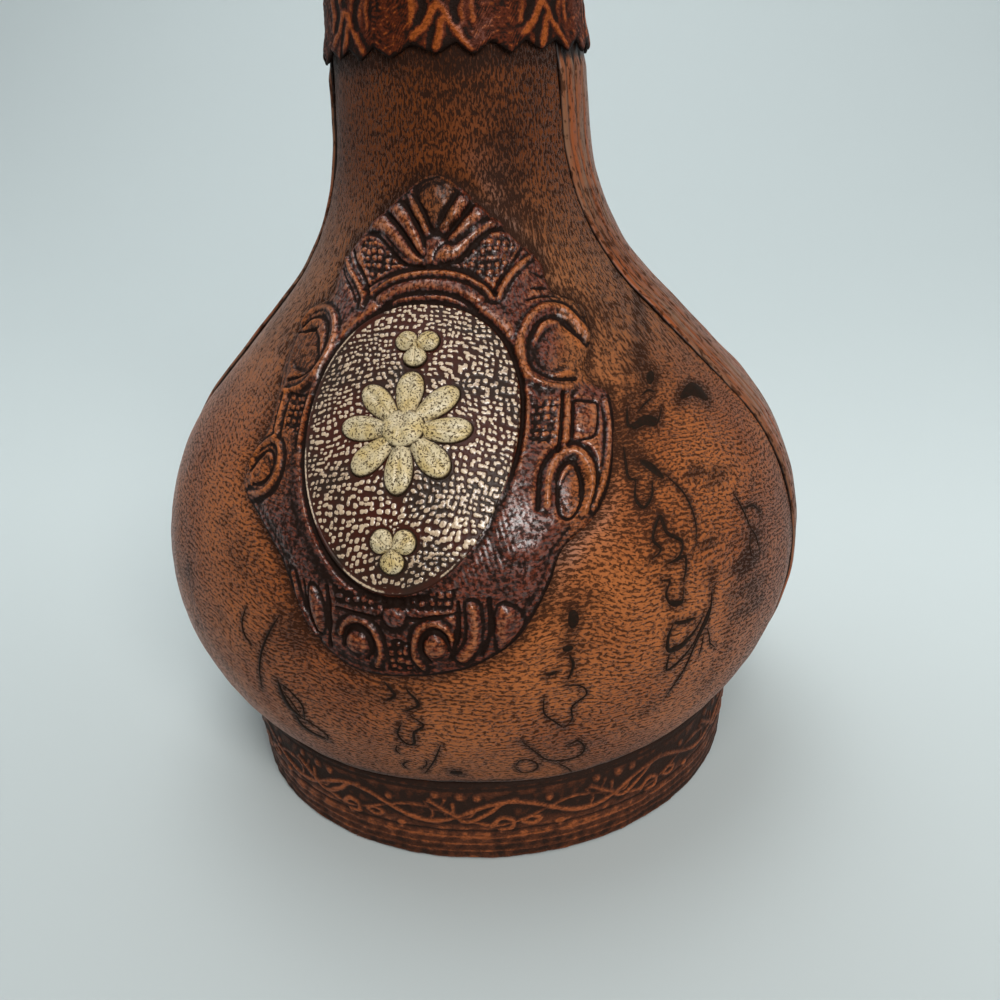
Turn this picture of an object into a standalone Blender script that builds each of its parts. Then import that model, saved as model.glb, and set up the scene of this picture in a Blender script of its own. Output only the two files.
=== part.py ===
"""Leather-wrapped decanter: a glass bottle in a sewn and glued leather coat, with a stopper.

Run with blender --background --python part.py, or from Blender's text editor.
Lengths are in metres and +Z is up. The bottle's axis is the Z axis, the floor is Z = 0,
and the raised crest on the belly faces -Y.
"""

import math

import bmesh
import bpy
from mathutils import Matrix, Vector

# Clearance between two pieces that touch or nest, and how far cutters reach past what they cut
GAP = 0.0003
CUT_OVERLAP = 0.0020
CUT_REACH = 0.0100
TEETH_CUT_T = 0.0080

# Foot, from the floor up
SOLE_T = 0.0015
BOARD_T = 0.0049
FOOT_R = 0.0600
FOOT_FLARE = 0.0012
BAND_H = 0.0214
BAND_T = 0.0018
BAND_CHAMFER = 0.0006
BAND_PROUD = 0.00067

# Side of the bottle, measured on the outside of the leather
BELLY_R = 0.0736
BELLY_ROUND_R = 0.0517
SHOULDER_ANGLE = math.radians(43.3)
NECK_SWEEP_R = 0.0510
NECK_TAPER = math.radians(2.8)
NECK_TOP_R = 0.0231
MOUTH_Z = 0.2060
LEATHER_T = 0.0018
SEAM_GAP = 0.0005

# Glass under the leather
GLASS_T = 0.0035
GLASS_FLOOR_T = 0.0050
GLASS_FLAT = 0.0008
GLASS_LIP_ROUND = 0.0008
HEEL_ANGLE = math.radians(51.5)

# Strips over the two side seams
STRIP_W = 0.0260
STRIP_T = 0.0012

# Collar round the neck, with its pinked lower edge, and the roll round the mouth
COLLAR_LOW_Z = 0.1574
COLLAR_T = 0.0010
COLLAR_TEETH = 24
COLLAR_TOOTH_H = 0.0032
TOOTH_TIP_W = 0.0006
LIP_H = 0.0062
LIP_OUT = 0.0052
LIP_ROUND = 0.0026

# Crest: outline half in (share of the half width, share of the height), top to bottom
CREST_HALF_W = 0.0386
CREST_LOW_Z = 0.0545
CREST_H = 0.0830
CREST_OUTLINE = (
    (0.00, 1.000), (0.20, 0.965), (0.35, 0.905), (0.47, 0.865), (0.54, 0.805),
    (0.67, 0.755), (0.80, 0.655), (0.83, 0.590), (0.88, 0.560), (1.00, 0.450),
    (0.96, 0.360), (0.76, 0.285), (0.79, 0.215), (0.64, 0.135), (0.30, 0.030),
    (0.00, 0.000),
)
CREST_T = 0.0015
FILLER_T = 0.0012
FILLER_INSET = 0.0020
SCROLL_X = 0.0265
SCROLL_UP = 0.0521
SCROLL_HALF_W = 0.0065
SCROLL_HALF_H = 0.0046

# Oval shield in the crest, and the flower on it
SHIELD_HALF_W = 0.0215
SHIELD_HALF_H = 0.0228
SHIELD_UP = 0.0377
SHIELD_T = 0.0026
ROSETTE_R = 0.0125
ROSETTE_LOBE = 0.0018
ROSETTE_PETALS = 8
ROSETTE_T = 0.0012
BOSS_R = 0.0040
BOSS_H = 0.0014
SPRIG_R = 0.0042
SPRIG_LOBE = 0.0014
SPRIG_LOBES = 3
SPRIG_SPACING = 0.0150
SPRIG_T = 0.0010

# Stopper
CORK_L = 0.0240
CORK_TAPER = 0.0012
CORK_FIT = 0.0004
DOWEL_R = 0.0040
DOWEL_DEPTH = 0.0160
DOWEL_CHAMFER = 0.0006
SKIRT_R = 0.0262
SKIRT_T = 0.0015
SKIRT_TEETH = 20
SKIRT_TOOTH_H = 0.0022
KNOB_R = 0.0220
KNOB_NECK_R = 0.0105
KNOB_FOOT_R = 0.0145
KNOB_FOOT_H = 0.0030
KNOB_STEM_H = 0.0050
GORE_T = 0.0015
GORE_COUNT = 4
GORE_GAP = 0.0005
BUTTON_R = 0.0065
BUTTON_H = 0.0026

# Facets: steps of a full turn, and steps along the two arcs of the bottle's side
TURN_STEPS = 32
SWEEP_STEPS = 5
BELLY_STEPS = 4
KNOB_STEPS = 8
ROUND_STEPS = 3
DOME_STEPS = 3
OUTLINE_STEPS = 3
LOBE_STEPS = 6
SCROLL_STEPS = 16
MERGE = 0.00001

# Distances outside the leather at which each layer of the crest begins and ends
FILLER_OUT = GAP + FILLER_T
CREST_IN = FILLER_OUT + GAP
CREST_OUT = CREST_IN + CREST_T
SHIELD_OUT = CREST_IN + SHIELD_T
FLOWER_IN = SHIELD_OUT + GAP

# Places that follow from the sizes above
GLASS_IN = -(LEATHER_T + GAP)
BOARD_LOW_Z = SOLE_T + GAP
GLASS_FOOT_Z = BOARD_LOW_Z + BOARD_T + GAP
BELLY_Z = GLASS_FOOT_Z - GLASS_FLAT + BELLY_ROUND_R + GLASS_IN
BELLY_CENTRE_R = BELLY_R - BELLY_ROUND_R
BAND_TOP_R = FOOT_R + FOOT_FLARE
HEEL_R = BAND_TOP_R - BAND_PROUD
UNDER_IN = BELLY_R - HEEL_R
UNDER_H = BELLY_Z - BAND_H
UNDER_ROUND_R = (UNDER_IN ** 2 + UNDER_H ** 2) / (2.0 * UNDER_IN)
UNDER_ANGLE = math.asin(UNDER_H / UNDER_ROUND_R)
COLLAR_TOP_Z = MOUTH_Z - LIP_H
SHIELD_Z = CREST_LOW_Z + SHIELD_UP
SKIRT_Z = MOUTH_Z + GAP
KNOB_FOOT_Z = SKIRT_Z + SKIRT_T + GAP
KNOB_Z = KNOB_FOOT_Z + KNOB_FOOT_H + KNOB_STEM_H + KNOB_R
FRONT = Vector((0.0, -1.0, 0.0))


def neck_radius(z, out=0.0):
    """Radius of the tapering neck, out metres outside the leather."""
    return NECK_TOP_R + (MOUTH_Z - z) * math.tan(NECK_TAPER) + out / math.cos(NECK_TAPER)


def sweep_centre():
    """Centre (radius, height) of the hollow arc between the shoulder cone and the neck."""
    cone = math.tan(SHOULDER_ANGLE)
    taper = math.tan(NECK_TAPER)
    cone_r = BELLY_CENTRE_R + BELLY_ROUND_R * math.cos(SHOULDER_ANGLE)
    cone_z = BELLY_Z + BELLY_ROUND_R * math.sin(SHOULDER_ANGLE)
    corner_z = (cone_r + cone_z * cone - neck_radius(0.0)) / (cone - taper)
    corner_r = neck_radius(corner_z)
    tangent = NECK_SWEEP_R * math.tan((SHOULDER_ANGLE - NECK_TAPER) / 2.0)
    low_r = corner_r + tangent * math.sin(SHOULDER_ANGLE)
    low_z = corner_z - tangent * math.cos(SHOULDER_ANGLE)
    return (
        low_r + NECK_SWEEP_R * math.cos(SHOULDER_ANGLE),
        low_z + NECK_SWEEP_R * math.sin(SHOULDER_ANGLE),
    )


SWEEP_R, SWEEP_Z = sweep_centre()


def belly_point(angle, out):
    """Point of the belly's upper arc at an angle above the horizontal."""
    reach = BELLY_ROUND_R + out
    return (BELLY_CENTRE_R + reach * math.cos(angle), BELLY_Z + reach * math.sin(angle))


def under_point(angle, out):
    """Point of the arc under the belly, which meets the foot, at an angle below the horizontal."""
    reach = UNDER_ROUND_R + out
    return (BELLY_R - UNDER_ROUND_R + reach * math.cos(angle), BELLY_Z - reach * math.sin(angle))


def sweep_point(angle, out):
    """Point of the hollow arc under the neck, where the wall leans in by an angle."""
    reach = NECK_SWEEP_R - out
    return (SWEEP_R - reach * math.cos(angle), SWEEP_Z - reach * math.sin(angle))


def wall_radius(z, out=0.0):
    """Radius of the bottle's side at a height, out metres outside the leather."""
    if z >= sweep_point(NECK_TAPER, out)[1]:
        return neck_radius(z, out)
    sweep_r, sweep_z = sweep_point(SHOULDER_ANGLE, out)
    if z >= sweep_z:
        reach = NECK_SWEEP_R - out
        return SWEEP_R - math.sqrt(reach ** 2 - (SWEEP_Z - z) ** 2)
    if z >= belly_point(SHOULDER_ANGLE, out)[1]:
        return sweep_r + (sweep_z - z) * math.tan(SHOULDER_ANGLE)
    if z >= BELLY_Z:
        return BELLY_CENTRE_R + math.sqrt((BELLY_ROUND_R + out) ** 2 - (z - BELLY_Z) ** 2)
    if z >= BAND_H:
        reach = UNDER_ROUND_R + out
        return BELLY_R - UNDER_ROUND_R + math.sqrt(max(reach ** 2 - (z - BELLY_Z) ** 2, 0.0))
    return wall_radius(BAND_H, out) - (BAND_H - z) * math.tan(HEEL_ANGLE)


def wall_profile(out, low_z, high_z):
    """Points (radius, height) down the bottle's side between two heights."""
    points = []
    for step in range(SWEEP_STEPS + 1):
        share = step / SWEEP_STEPS
        points.append(sweep_point(NECK_TAPER + (SHOULDER_ANGLE - NECK_TAPER) * share, out))
    for step in range(BELLY_STEPS):
        points.append(belly_point(SHOULDER_ANGLE * (1.0 - step / BELLY_STEPS), out))
    for step in range(BELLY_STEPS):
        points.append(under_point(UNDER_ANGLE * step / BELLY_STEPS, out))
    points.append((wall_radius(BAND_H, out), BAND_H))
    inside = [p for p in points if low_z + MERGE < p[1] < high_z - MERGE]
    top = (wall_radius(high_z, out), high_z)
    bottom = (wall_radius(low_z, out), low_z)
    return [top, *inside, bottom]


def arc(centre, radius, start, end, steps=ROUND_STEPS):
    """Points on an arc in the (radius, height) plane, angles counted from outwards to up."""
    points = []
    for step in range(steps + 1):
        angle = start + (end - start) * step / steps
        points.append((centre[0] + radius * math.cos(angle), centre[1] + radius * math.sin(angle)))
    return points


def new_collection(name):
    collection = bpy.data.collections.new(name)
    bpy.context.scene.collection.children.link(collection)
    return collection


def principled(name, colour, roughness, transmission):
    """A plain finish for one piece, none of which is metal."""
    material = bpy.data.materials.new(name)
    material.use_nodes = True
    shader = material.node_tree.nodes["Principled BSDF"]
    shader.inputs["Base Color"].default_value = (*colour, 1.0)
    shader.inputs["Roughness"].default_value = roughness
    shader.inputs["Metallic"].default_value = 0.0
    shader.inputs["Transmission Weight"].default_value = transmission
    return material


# Colour, roughness and share of light let through of each finish
FINISHES = {
    "body_leather": ((0.42, 0.19, 0.07), 0.55, 0.0),
    "strip_leather": ((0.30, 0.15, 0.08), 0.55, 0.0),
    "crest_leather": ((0.26, 0.08, 0.035), 0.50, 0.0),
    "shield_leather": ((0.16, 0.10, 0.06), 0.55, 0.0),
    "pale_leather": ((0.78, 0.68, 0.42), 0.55, 0.0),
    "collar_leather": ((0.34, 0.12, 0.05), 0.50, 0.0),
    "band_leather": ((0.24, 0.10, 0.05), 0.50, 0.0),
    "sole_leather": ((0.12, 0.08, 0.06), 0.80, 0.0),
    "board": ((0.48, 0.38, 0.26), 0.80, 0.0),
    "cork": ((0.62, 0.44, 0.27), 0.85, 0.0),
    "wood": ((0.55, 0.36, 0.20), 0.60, 0.0),
    "glass": ((0.55, 0.66, 0.58), 0.08, 0.90),
}


def place(name, mesh, finish, collection):
    """Put a mesh into the scene as a named piece with its own finish."""
    piece = bpy.data.objects.new(name, mesh)
    collection.objects.link(piece)
    piece.data.materials.append(principled(name, *FINISHES[finish]))
    return piece


def as_cutter(name, mesh, collection):
    """Put a mesh into the scene as a guide that only cuts."""
    cutter = bpy.data.objects.new(name, mesh)
    collection.objects.link(cutter)
    cutter.hide_render = True
    cutter.display_type = "WIRE"
    return cutter


def profile_mesh(name, points, closed):
    """Edges through (radius, height) points in the XZ plane."""
    mesh = bpy.data.meshes.new(name)
    count = len(points)
    edges = [(k, (k + 1) % count) for k in range(count if closed else count - 1)]
    mesh.from_pydata([(r, 0.0, z) for r, z in points], edges, [])
    return mesh


def turn(piece):
    """Turn a profile about the Z axis."""
    screw = piece.modifiers.new("Turn", "SCREW")
    screw.axis = "Z"
    screw.angle = 2.0 * math.pi
    screw.steps = TURN_STEPS
    screw.render_steps = TURN_STEPS
    screw.use_merge_vertices = True
    screw.merge_threshold = MERGE
    screw.use_smooth_shade = True
    return piece


def turned(name, points, finish, collection, closed=True):
    """A turned piece: a closed section, or a line that starts and ends on the axis."""
    return turn(place(name, profile_mesh(name, points, closed), finish, collection))


def dome_points(radius, height, low_z):
    """Half section of a flat-footed dome: a quarter ellipse, then along the foot to the axis."""
    points = []
    for step in range(DOME_STEPS + 1):
        angle = math.pi / 2 * (1.0 - step / DOME_STEPS)
        points.append((radius * math.cos(angle), low_z + height * math.sin(angle)))
    points[0] = (0.0, low_z + height)
    return points + [(0.0, low_z)]


def layer_points(inner, outer, low_z, high_z):
    """Section of a layer that follows the bottle's side."""
    return wall_profile(outer, low_z, high_z) + wall_profile(inner, low_z, high_z)[::-1]


def boolean(piece, cutter, operation):
    modifier = piece.modifiers.new(cutter.name, "BOOLEAN")
    modifier.operation = operation
    modifier.solver = "EXACT"
    modifier.object = cutter
    return piece


def box_mesh(name, low, high):
    """A box between two corners."""
    shape = bmesh.new()
    size = Vector(high) - Vector(low)
    centre = (Vector(high) + Vector(low)) / 2.0
    matrix = Matrix.Translation(centre) @ Matrix.Diagonal((*size, 1.0))
    bmesh.ops.create_cube(shape, size=1.0, matrix=matrix)
    mesh = bpy.data.meshes.new(name)
    shape.to_mesh(mesh)
    shape.free()
    return mesh


def outline_cutter(name, points, collection, smooth):
    """A prism through the front of the bottle, from points (across, height) seen from -Y."""
    reach = BELLY_R + SHIELD_OUT + CUT_REACH
    curve = bpy.data.curves.new(name, "CURVE")
    curve.dimensions = "2D"
    curve.fill_mode = "BOTH"
    curve.extrude = reach / 2.0
    curve.resolution_u = OUTLINE_STEPS
    spline = curve.splines.new("BEZIER" if smooth else "POLY")
    spline.use_cyclic_u = True
    if smooth:
        spline.bezier_points.add(len(points) - 1)
        for place_at, point in zip(spline.bezier_points, points):
            place_at.co = (point[0], point[1], 0.0)
            place_at.handle_left_type = "AUTO"
            place_at.handle_right_type = "AUTO"
    else:
        spline.points.add(len(points) - 1)
        for place_at, point in zip(spline.points, points):
            place_at.co = (point[0], point[1], 0.0, 1.0)
    guide = bpy.data.objects.new(name + "_curve", curve)
    collection.objects.link(guide)
    guide.matrix_world = Matrix.Translation(FRONT * reach / 2.0) @ Matrix.Rotation(math.pi / 2, 4, "X")
    return curve_to_cutter(guide, name, collection)


def curve_to_cutter(guide, name, collection):
    """Make a closed mesh of a filled curve, weld its caps and remove the curve."""
    bpy.context.view_layer.update()
    evaluated = guide.evaluated_get(bpy.context.evaluated_depsgraph_get())
    mesh = bpy.data.meshes.new_from_object(evaluated)
    shape = bmesh.new()
    shape.from_mesh(mesh)
    bmesh.ops.remove_doubles(shape, verts=shape.verts, dist=MERGE)
    bmesh.ops.recalc_face_normals(shape, faces=shape.faces)
    shape.to_mesh(mesh)
    shape.free()
    cutter = as_cutter(name, mesh, collection)
    cutter.matrix_world = guide.matrix_world
    bpy.data.objects.remove(guide)
    return cutter


def crest_points(inset):
    """The crest's whole outline, seen from the front, drawn in by an inset."""
    half_w = CREST_HALF_W - inset
    height = CREST_H - 2.0 * inset
    low_z = CREST_LOW_Z + inset
    right = [(x * half_w, low_z + y * height) for x, y in CREST_OUTLINE]
    left = [(-x, z) for x, z in right[1:-1]]
    return right + left[::-1]


def ellipse_points(centre, half_w, half_h, count):
    points = []
    for step in range(count):
        angle = 2.0 * math.pi * step / count
        points.append((centre[0] + half_w * math.cos(angle), centre[1] + half_h * math.sin(angle)))
    return points


def flower_points(up, radius, lobe, petals, squash):
    """A round outline with lobes, squashed to lie right on the leaning shoulder."""
    points = []
    count = petals * LOBE_STEPS
    for step in range(count):
        angle = 2.0 * math.pi * step / count
        reach = radius - lobe + lobe * abs(math.cos(angle * petals / 2.0)) * 2.0
        points.append((reach * math.sin(angle), SHIELD_Z + up + reach * math.cos(angle) * squash))
    return points


def teeth_cutter(name, radius, z, teeth, tooth_h, edge_turn, collection):
    """Diamonds round an edge, which cut it into a row of teeth, pointing out or turned to point down."""
    shape = bmesh.new()
    half_w = (2.0 * math.pi * radius / teeth - TOOTH_TIP_W) / 2.0
    for tooth in range(teeth):
        angle = 2.0 * math.pi * (tooth + 0.5) / teeth
        matrix = (
            Matrix.Rotation(angle, 4, "Z")
            @ Matrix.Translation((radius, 0.0, z))
            @ Matrix.Rotation(edge_turn, 4, "Y")
            @ Matrix.Diagonal((tooth_h, half_w, 1.0, 1.0))
        )
        bmesh.ops.create_cone(
            shape, cap_ends=True, segments=4, radius1=1.0, radius2=1.0, depth=TEETH_CUT_T, matrix=matrix
        )
    mesh = bpy.data.meshes.new(name)
    shape.to_mesh(mesh)
    shape.free()
    return as_cutter(name, mesh, collection)


def wedge_cutter(name, angle, collection):
    """A three-sided prism whose edge stands near the axis: the share of one leather gore."""
    reach = KNOB_R + KNOB_R
    half = math.pi / GORE_COUNT
    shift = GORE_GAP / 2.0 / math.sin(half)
    matrix = (
        Matrix.Rotation(angle, 4, "Z")
        @ Matrix.Translation((shift + reach, 0.0, KNOB_Z))
        @ Matrix.Diagonal((reach, reach * math.tan(half) / math.tan(math.pi / 6), 1.0, 1.0))
        @ Matrix.Rotation(math.pi / 2, 4, "Z")
    )
    shape = bmesh.new()
    depth = 2.0 * (KNOB_R + CUT_OVERLAP)
    bmesh.ops.create_cone(
        shape, cap_ends=True, segments=3, radius1=1.0, radius2=1.0, depth=depth, matrix=matrix
    )
    mesh = bpy.data.meshes.new(name)
    shape.to_mesh(mesh)
    shape.free()
    return as_cutter(name, mesh, collection)


def make_foot(parts):
    """Sole, board, filling ring and the leather band round them."""
    inside_r = FOOT_R - BAND_T - GAP
    board_r = inside_r
    sole = [(0.0, SOLE_T), (board_r, SOLE_T), (board_r, 0.0), (0.0, 0.0)]
    turned("base_sole", sole, "sole_leather", parts, closed=False)
    top_z = BOARD_LOW_Z + BOARD_T
    board = [(0.0, top_z), (board_r, top_z), (board_r, BOARD_LOW_Z), (0.0, BOARD_LOW_Z)]
    turned("base_board", board, "board", parts, closed=False)
    ring_low = top_z + GAP
    ring_high = BAND_H - GAP
    lean = FOOT_FLARE / BAND_H
    inner = wall_profile(GLASS_IN + GAP, ring_low, ring_high)[::-1]
    ring = [(inside_r + lean * ring_high, ring_high), (inside_r + lean * ring_low, ring_low)] + inner
    turned("base_ring", ring, "wood", parts)
    band = [
        (BAND_TOP_R - BAND_T, BAND_H),
        (BAND_TOP_R - BAND_CHAMFER, BAND_H),
        (BAND_TOP_R, BAND_H - BAND_CHAMFER),
        (FOOT_R, GAP + BAND_CHAMFER),
        (FOOT_R - BAND_CHAMFER, GAP),
        (FOOT_R - BAND_T, GAP),
    ]
    turned("base_band", band, "band_leather", parts)


def make_glass(parts):
    """The bottle itself, open at the mouth."""
    inner_in = GLASS_IN - GLASS_T
    floor_z = GLASS_FOOT_Z + GLASS_FLOOR_T
    inner = wall_profile(inner_in, floor_z, MOUTH_Z - GLASS_LIP_ROUND)[::-1]
    outer = wall_profile(GLASS_IN, GLASS_FOOT_Z, MOUTH_Z - GLASS_LIP_ROUND)
    lip = [
        (neck_radius(MOUTH_Z, inner_in) + GLASS_LIP_ROUND, MOUTH_Z),
        (neck_radius(MOUTH_Z, GLASS_IN) - GLASS_LIP_ROUND, MOUTH_Z),
    ]
    points = [(0.0, floor_z), *inner, *lip, *outer, (0.0, GLASS_FOOT_Z)]
    turned("glass_bottle", points, "glass", parts, closed=False)


def make_coat(parts, cutters):
    """Front and back leather panels, and the strips over the seams between them."""
    low_z = BAND_H + GAP
    reach = BELLY_R + CUT_REACH
    for name, side in (("leather_front", -1.0), ("leather_back", 1.0)):
        panel = turned(name, layer_points(-LEATHER_T, 0.0, low_z, COLLAR_TOP_Z), "body_leather", parts)
        near = side * SEAM_GAP / 2.0
        far = side * reach
        half = box_mesh(name + "_half", (-reach, min(near, far), 0.0), (reach, max(near, far), MOUTH_Z))
        boolean(panel, as_cutter(name + "_half", half, cutters), "INTERSECT")
    high_z = COLLAR_LOW_Z - GAP
    for name, side in (("side_strip_left", -1.0), ("side_strip_right", 1.0)):
        strip = turned(name, layer_points(GAP, GAP + STRIP_T, low_z, high_z), "strip_leather", parts)
        low_x, high_x = sorted((0.0, side * reach))
        half = box_mesh(name + "_width", (low_x, -STRIP_W / 2.0, 0.0), (high_x, STRIP_W / 2.0, MOUTH_Z))
        boolean(strip, as_cutter(name + "_width", half, cutters), "INTERSECT")


def make_neck(parts, cutters):
    """Pinked collar and the leather roll round the mouth."""
    collar = turned(
        "neck_collar", layer_points(GAP, GAP + COLLAR_T, COLLAR_LOW_Z, COLLAR_TOP_Z), "collar_leather", parts
    )
    edge_r = wall_radius(COLLAR_LOW_Z, GAP + COLLAR_T)
    boolean(
        collar,
        teeth_cutter(
            "collar_teeth", edge_r, COLLAR_LOW_Z, COLLAR_TEETH, COLLAR_TOOTH_H, math.pi / 2, cutters
        ),
        "DIFFERENCE",
    )
    low_z = COLLAR_TOP_Z + GAP
    inside_low = neck_radius(low_z, GLASS_IN + GAP)
    inside_high = neck_radius(MOUTH_Z, GLASS_IN + GAP)
    outer_r = neck_radius(low_z, GLASS_IN + GAP) + LIP_OUT
    upper = arc((outer_r - LIP_ROUND, MOUTH_Z - LIP_ROUND), LIP_ROUND, math.pi / 2, 0.0)
    lower = arc((outer_r - LIP_ROUND, low_z + LIP_ROUND), LIP_ROUND, 0.0, -math.pi / 2)
    turned("lip_roll", [(inside_high, MOUTH_Z), *upper, *lower, (inside_low, low_z)], "collar_leather", parts)


def scroll_cutter(name, side, margin, cutters):
    """The hollow of one C-scroll."""
    centre = (side * SCROLL_X, CREST_LOW_Z + SCROLL_UP)
    points = ellipse_points(centre, SCROLL_HALF_W + margin, SCROLL_HALF_H + margin, SCROLL_STEPS)
    return outline_cutter(name, points, cutters, smooth=False)


def make_crest(parts, cutters):
    """Raised crest: a filler under it, the embossed frame and the oval shield in it."""
    low_z = CREST_LOW_Z - CUT_OVERLAP
    high_z = CREST_LOW_Z + CREST_H + CUT_OVERLAP
    filler = turned("crest_filler", layer_points(GAP, FILLER_OUT, low_z, high_z), "board", parts)
    boolean(filler, outline_cutter("filler_outline", crest_points(FILLER_INSET), cutters, True), "INTERSECT")
    frame = turned("crest_frame", layer_points(CREST_IN, CREST_OUT, low_z, high_z), "crest_leather", parts)
    boolean(frame, outline_cutter("crest_outline", crest_points(0.0), cutters, True), "INTERSECT")
    for side_name, side in (("left", -1.0), ("right", 1.0)):
        boolean(filler, scroll_cutter("filler_scroll_" + side_name, side, FILLER_INSET, cutters), "DIFFERENCE")
        boolean(frame, scroll_cutter("crest_scroll_" + side_name, side, 0.0, cutters), "DIFFERENCE")
    centre = (0.0, SHIELD_Z)
    window = ellipse_points(centre, SHIELD_HALF_W + GAP, SHIELD_HALF_H + GAP, TURN_STEPS)
    boolean(frame, outline_cutter("shield_window", window, cutters, False), "DIFFERENCE")
    shield = turned("crest_shield", layer_points(CREST_IN, SHIELD_OUT, low_z, high_z), "shield_leather", parts)
    oval = ellipse_points(centre, SHIELD_HALF_W, SHIELD_HALF_H, TURN_STEPS)
    boolean(shield, outline_cutter("shield_oval", oval, cutters, False), "INTERSECT")


def make_flower(parts, cutters):
    """Rosette, its round boss and a small three-lobed sprig above and below it."""
    squash = math.cos(SHOULDER_ANGLE)
    low_z = SHIELD_Z - SHIELD_HALF_H
    high_z = SHIELD_Z + SHIELD_HALF_H
    rosette = turned(
        "rosette", layer_points(FLOWER_IN, FLOWER_IN + ROSETTE_T, low_z, high_z), "pale_leather", parts
    )
    petals = flower_points(0.0, ROSETTE_R, ROSETTE_LOBE, ROSETTE_PETALS, squash)
    boolean(rosette, outline_cutter("rosette_outline", petals, cutters, False), "INTERSECT")
    for name, side in (("sprig_upper", 1.0), ("sprig_lower", -1.0)):
        sprig = turned(name, layer_points(FLOWER_IN, FLOWER_IN + SPRIG_T, low_z, high_z), "pale_leather", parts)
        lobes = flower_points(side * SPRIG_SPACING, SPRIG_R, SPRIG_LOBE, SPRIG_LOBES, squash)
        boolean(sprig, outline_cutter(name + "_outline", lobes, cutters, False), "INTERSECT")
    lean = Vector((0.0, -math.cos(SHOULDER_ANGLE), math.sin(SHOULDER_ANGLE)))
    seat_out = FLOWER_IN + ROSETTE_T + GAP
    seat = Vector((0.0, -wall_radius(SHIELD_Z, seat_out), SHIELD_Z))
    boss = turned("rosette_boss", dome_points(BOSS_R, BOSS_H, 0.0), "pale_leather", parts, closed=False)
    boss.matrix_world = Matrix.Translation(seat) @ lean.to_track_quat("Z", "Y").to_matrix().to_4x4()


def make_stopper(parts, cutters):
    """Cork, dowel, pinked skirt, wooden knob, its leather gores and the top button."""
    bore_r = DOWEL_R + GAP
    cork_top = MOUTH_Z
    cork_r = neck_radius(MOUTH_Z, GLASS_IN - GLASS_T) - CORK_FIT
    dowel_low = cork_top - DOWEL_DEPTH
    cork = [
        (0.0, dowel_low - GAP),
        (bore_r, dowel_low - GAP),
        (bore_r, cork_top),
        (cork_r, cork_top),
        (cork_r - CORK_TAPER, cork_top - CORK_L),
        (0.0, cork_top - CORK_L),
    ]
    pieces = [turned("stopper_cork", cork, "cork", parts, closed=False)]
    skirt = [(bore_r, SKIRT_Z + SKIRT_T), (SKIRT_R, SKIRT_Z + SKIRT_T), (SKIRT_R, SKIRT_Z), (bore_r, SKIRT_Z)]
    skirt_piece = turned("stopper_skirt", skirt, "collar_leather", parts)
    middle_z = SKIRT_Z + SKIRT_T / 2.0
    teeth = teeth_cutter("skirt_teeth", SKIRT_R, middle_z, SKIRT_TEETH, SKIRT_TOOTH_H, 0.0, cutters)
    pieces.append(boolean(skirt_piece, teeth, "DIFFERENCE"))
    core_r = KNOB_R - GORE_T - GAP
    flat_r = BUTTON_R - GORE_T
    top_z = KNOB_Z + math.sqrt(core_r ** 2 - flat_r ** 2)
    low_angle = -math.acos(KNOB_NECK_R / core_r)
    high_angle = math.acos(flat_r / core_r)
    ball = arc((0.0, KNOB_Z), core_r, high_angle, low_angle, KNOB_STEPS)
    core = [
        (bore_r, top_z),
        *ball,
        (KNOB_NECK_R, KNOB_FOOT_Z + KNOB_FOOT_H + KNOB_STEM_H / 2.0),
        (KNOB_FOOT_R, KNOB_FOOT_Z + KNOB_FOOT_H),
        (KNOB_FOOT_R, KNOB_FOOT_Z),
        (bore_r, KNOB_FOOT_Z),
    ]
    pieces.append(turned("stopper_knob", core, "wood", parts))
    dowel_top = top_z - GAP
    dowel = [
        (0.0, dowel_top),
        (DOWEL_R - DOWEL_CHAMFER, dowel_top),
        (DOWEL_R, dowel_top - DOWEL_CHAMFER),
        (DOWEL_R, dowel_low + DOWEL_CHAMFER),
        (DOWEL_R - DOWEL_CHAMFER, dowel_low),
        (0.0, dowel_low),
    ]
    pieces.append(turned("stopper_dowel", dowel, "wood", parts, closed=False))
    gore_high = math.acos(BUTTON_R / KNOB_R)
    gore_low = -math.acos((KNOB_NECK_R + GORE_T + GAP) / (KNOB_R - GORE_T))
    outer = arc((0.0, KNOB_Z), KNOB_R, gore_high, gore_low, KNOB_STEPS)
    inner = arc((0.0, KNOB_Z), KNOB_R - GORE_T, gore_low, gore_high, KNOB_STEPS)
    for gore in range(GORE_COUNT):
        name = "stopper_gore_%d" % (gore + 1)
        piece = turned(name, outer + inner, "body_leather", parts)
        wedge = wedge_cutter(name + "_wedge", 2.0 * math.pi * gore / GORE_COUNT, cutters)
        pieces.append(boolean(piece, wedge, "INTERSECT"))
    seat_z = max(top_z, KNOB_Z + KNOB_R * math.sin(gore_high)) + GAP
    button = dome_points(BUTTON_R, BUTTON_H, seat_z)
    pieces.append(turned("stopper_button", button, "collar_leather", parts, closed=False))
    return pieces


def hang_on_axis(pieces, parts):
    """Parent the stopper's pieces to an empty on the line along which it lifts out."""
    axis = bpy.data.objects.new("stopper_lift_axis", None)
    parts.objects.link(axis)
    axis.location = (0.0, 0.0, MOUTH_Z)
    bpy.context.view_layer.update()
    for piece in pieces:
        piece.parent = axis
        piece.matrix_parent_inverse = axis.matrix_world.inverted()


def main():
    for old in list(bpy.data.objects):
        bpy.data.objects.remove(old, do_unlink=True)
    parts = new_collection("leather_wrapped_decanter")
    cutters = new_collection("cutters")
    make_foot(parts)
    make_glass(parts)
    make_coat(parts, cutters)
    make_neck(parts, cutters)
    make_crest(parts, cutters)
    make_flower(parts, cutters)
    hang_on_axis(make_stopper(parts, cutters), parts)
    bpy.context.view_layer.update()


main()
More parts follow.
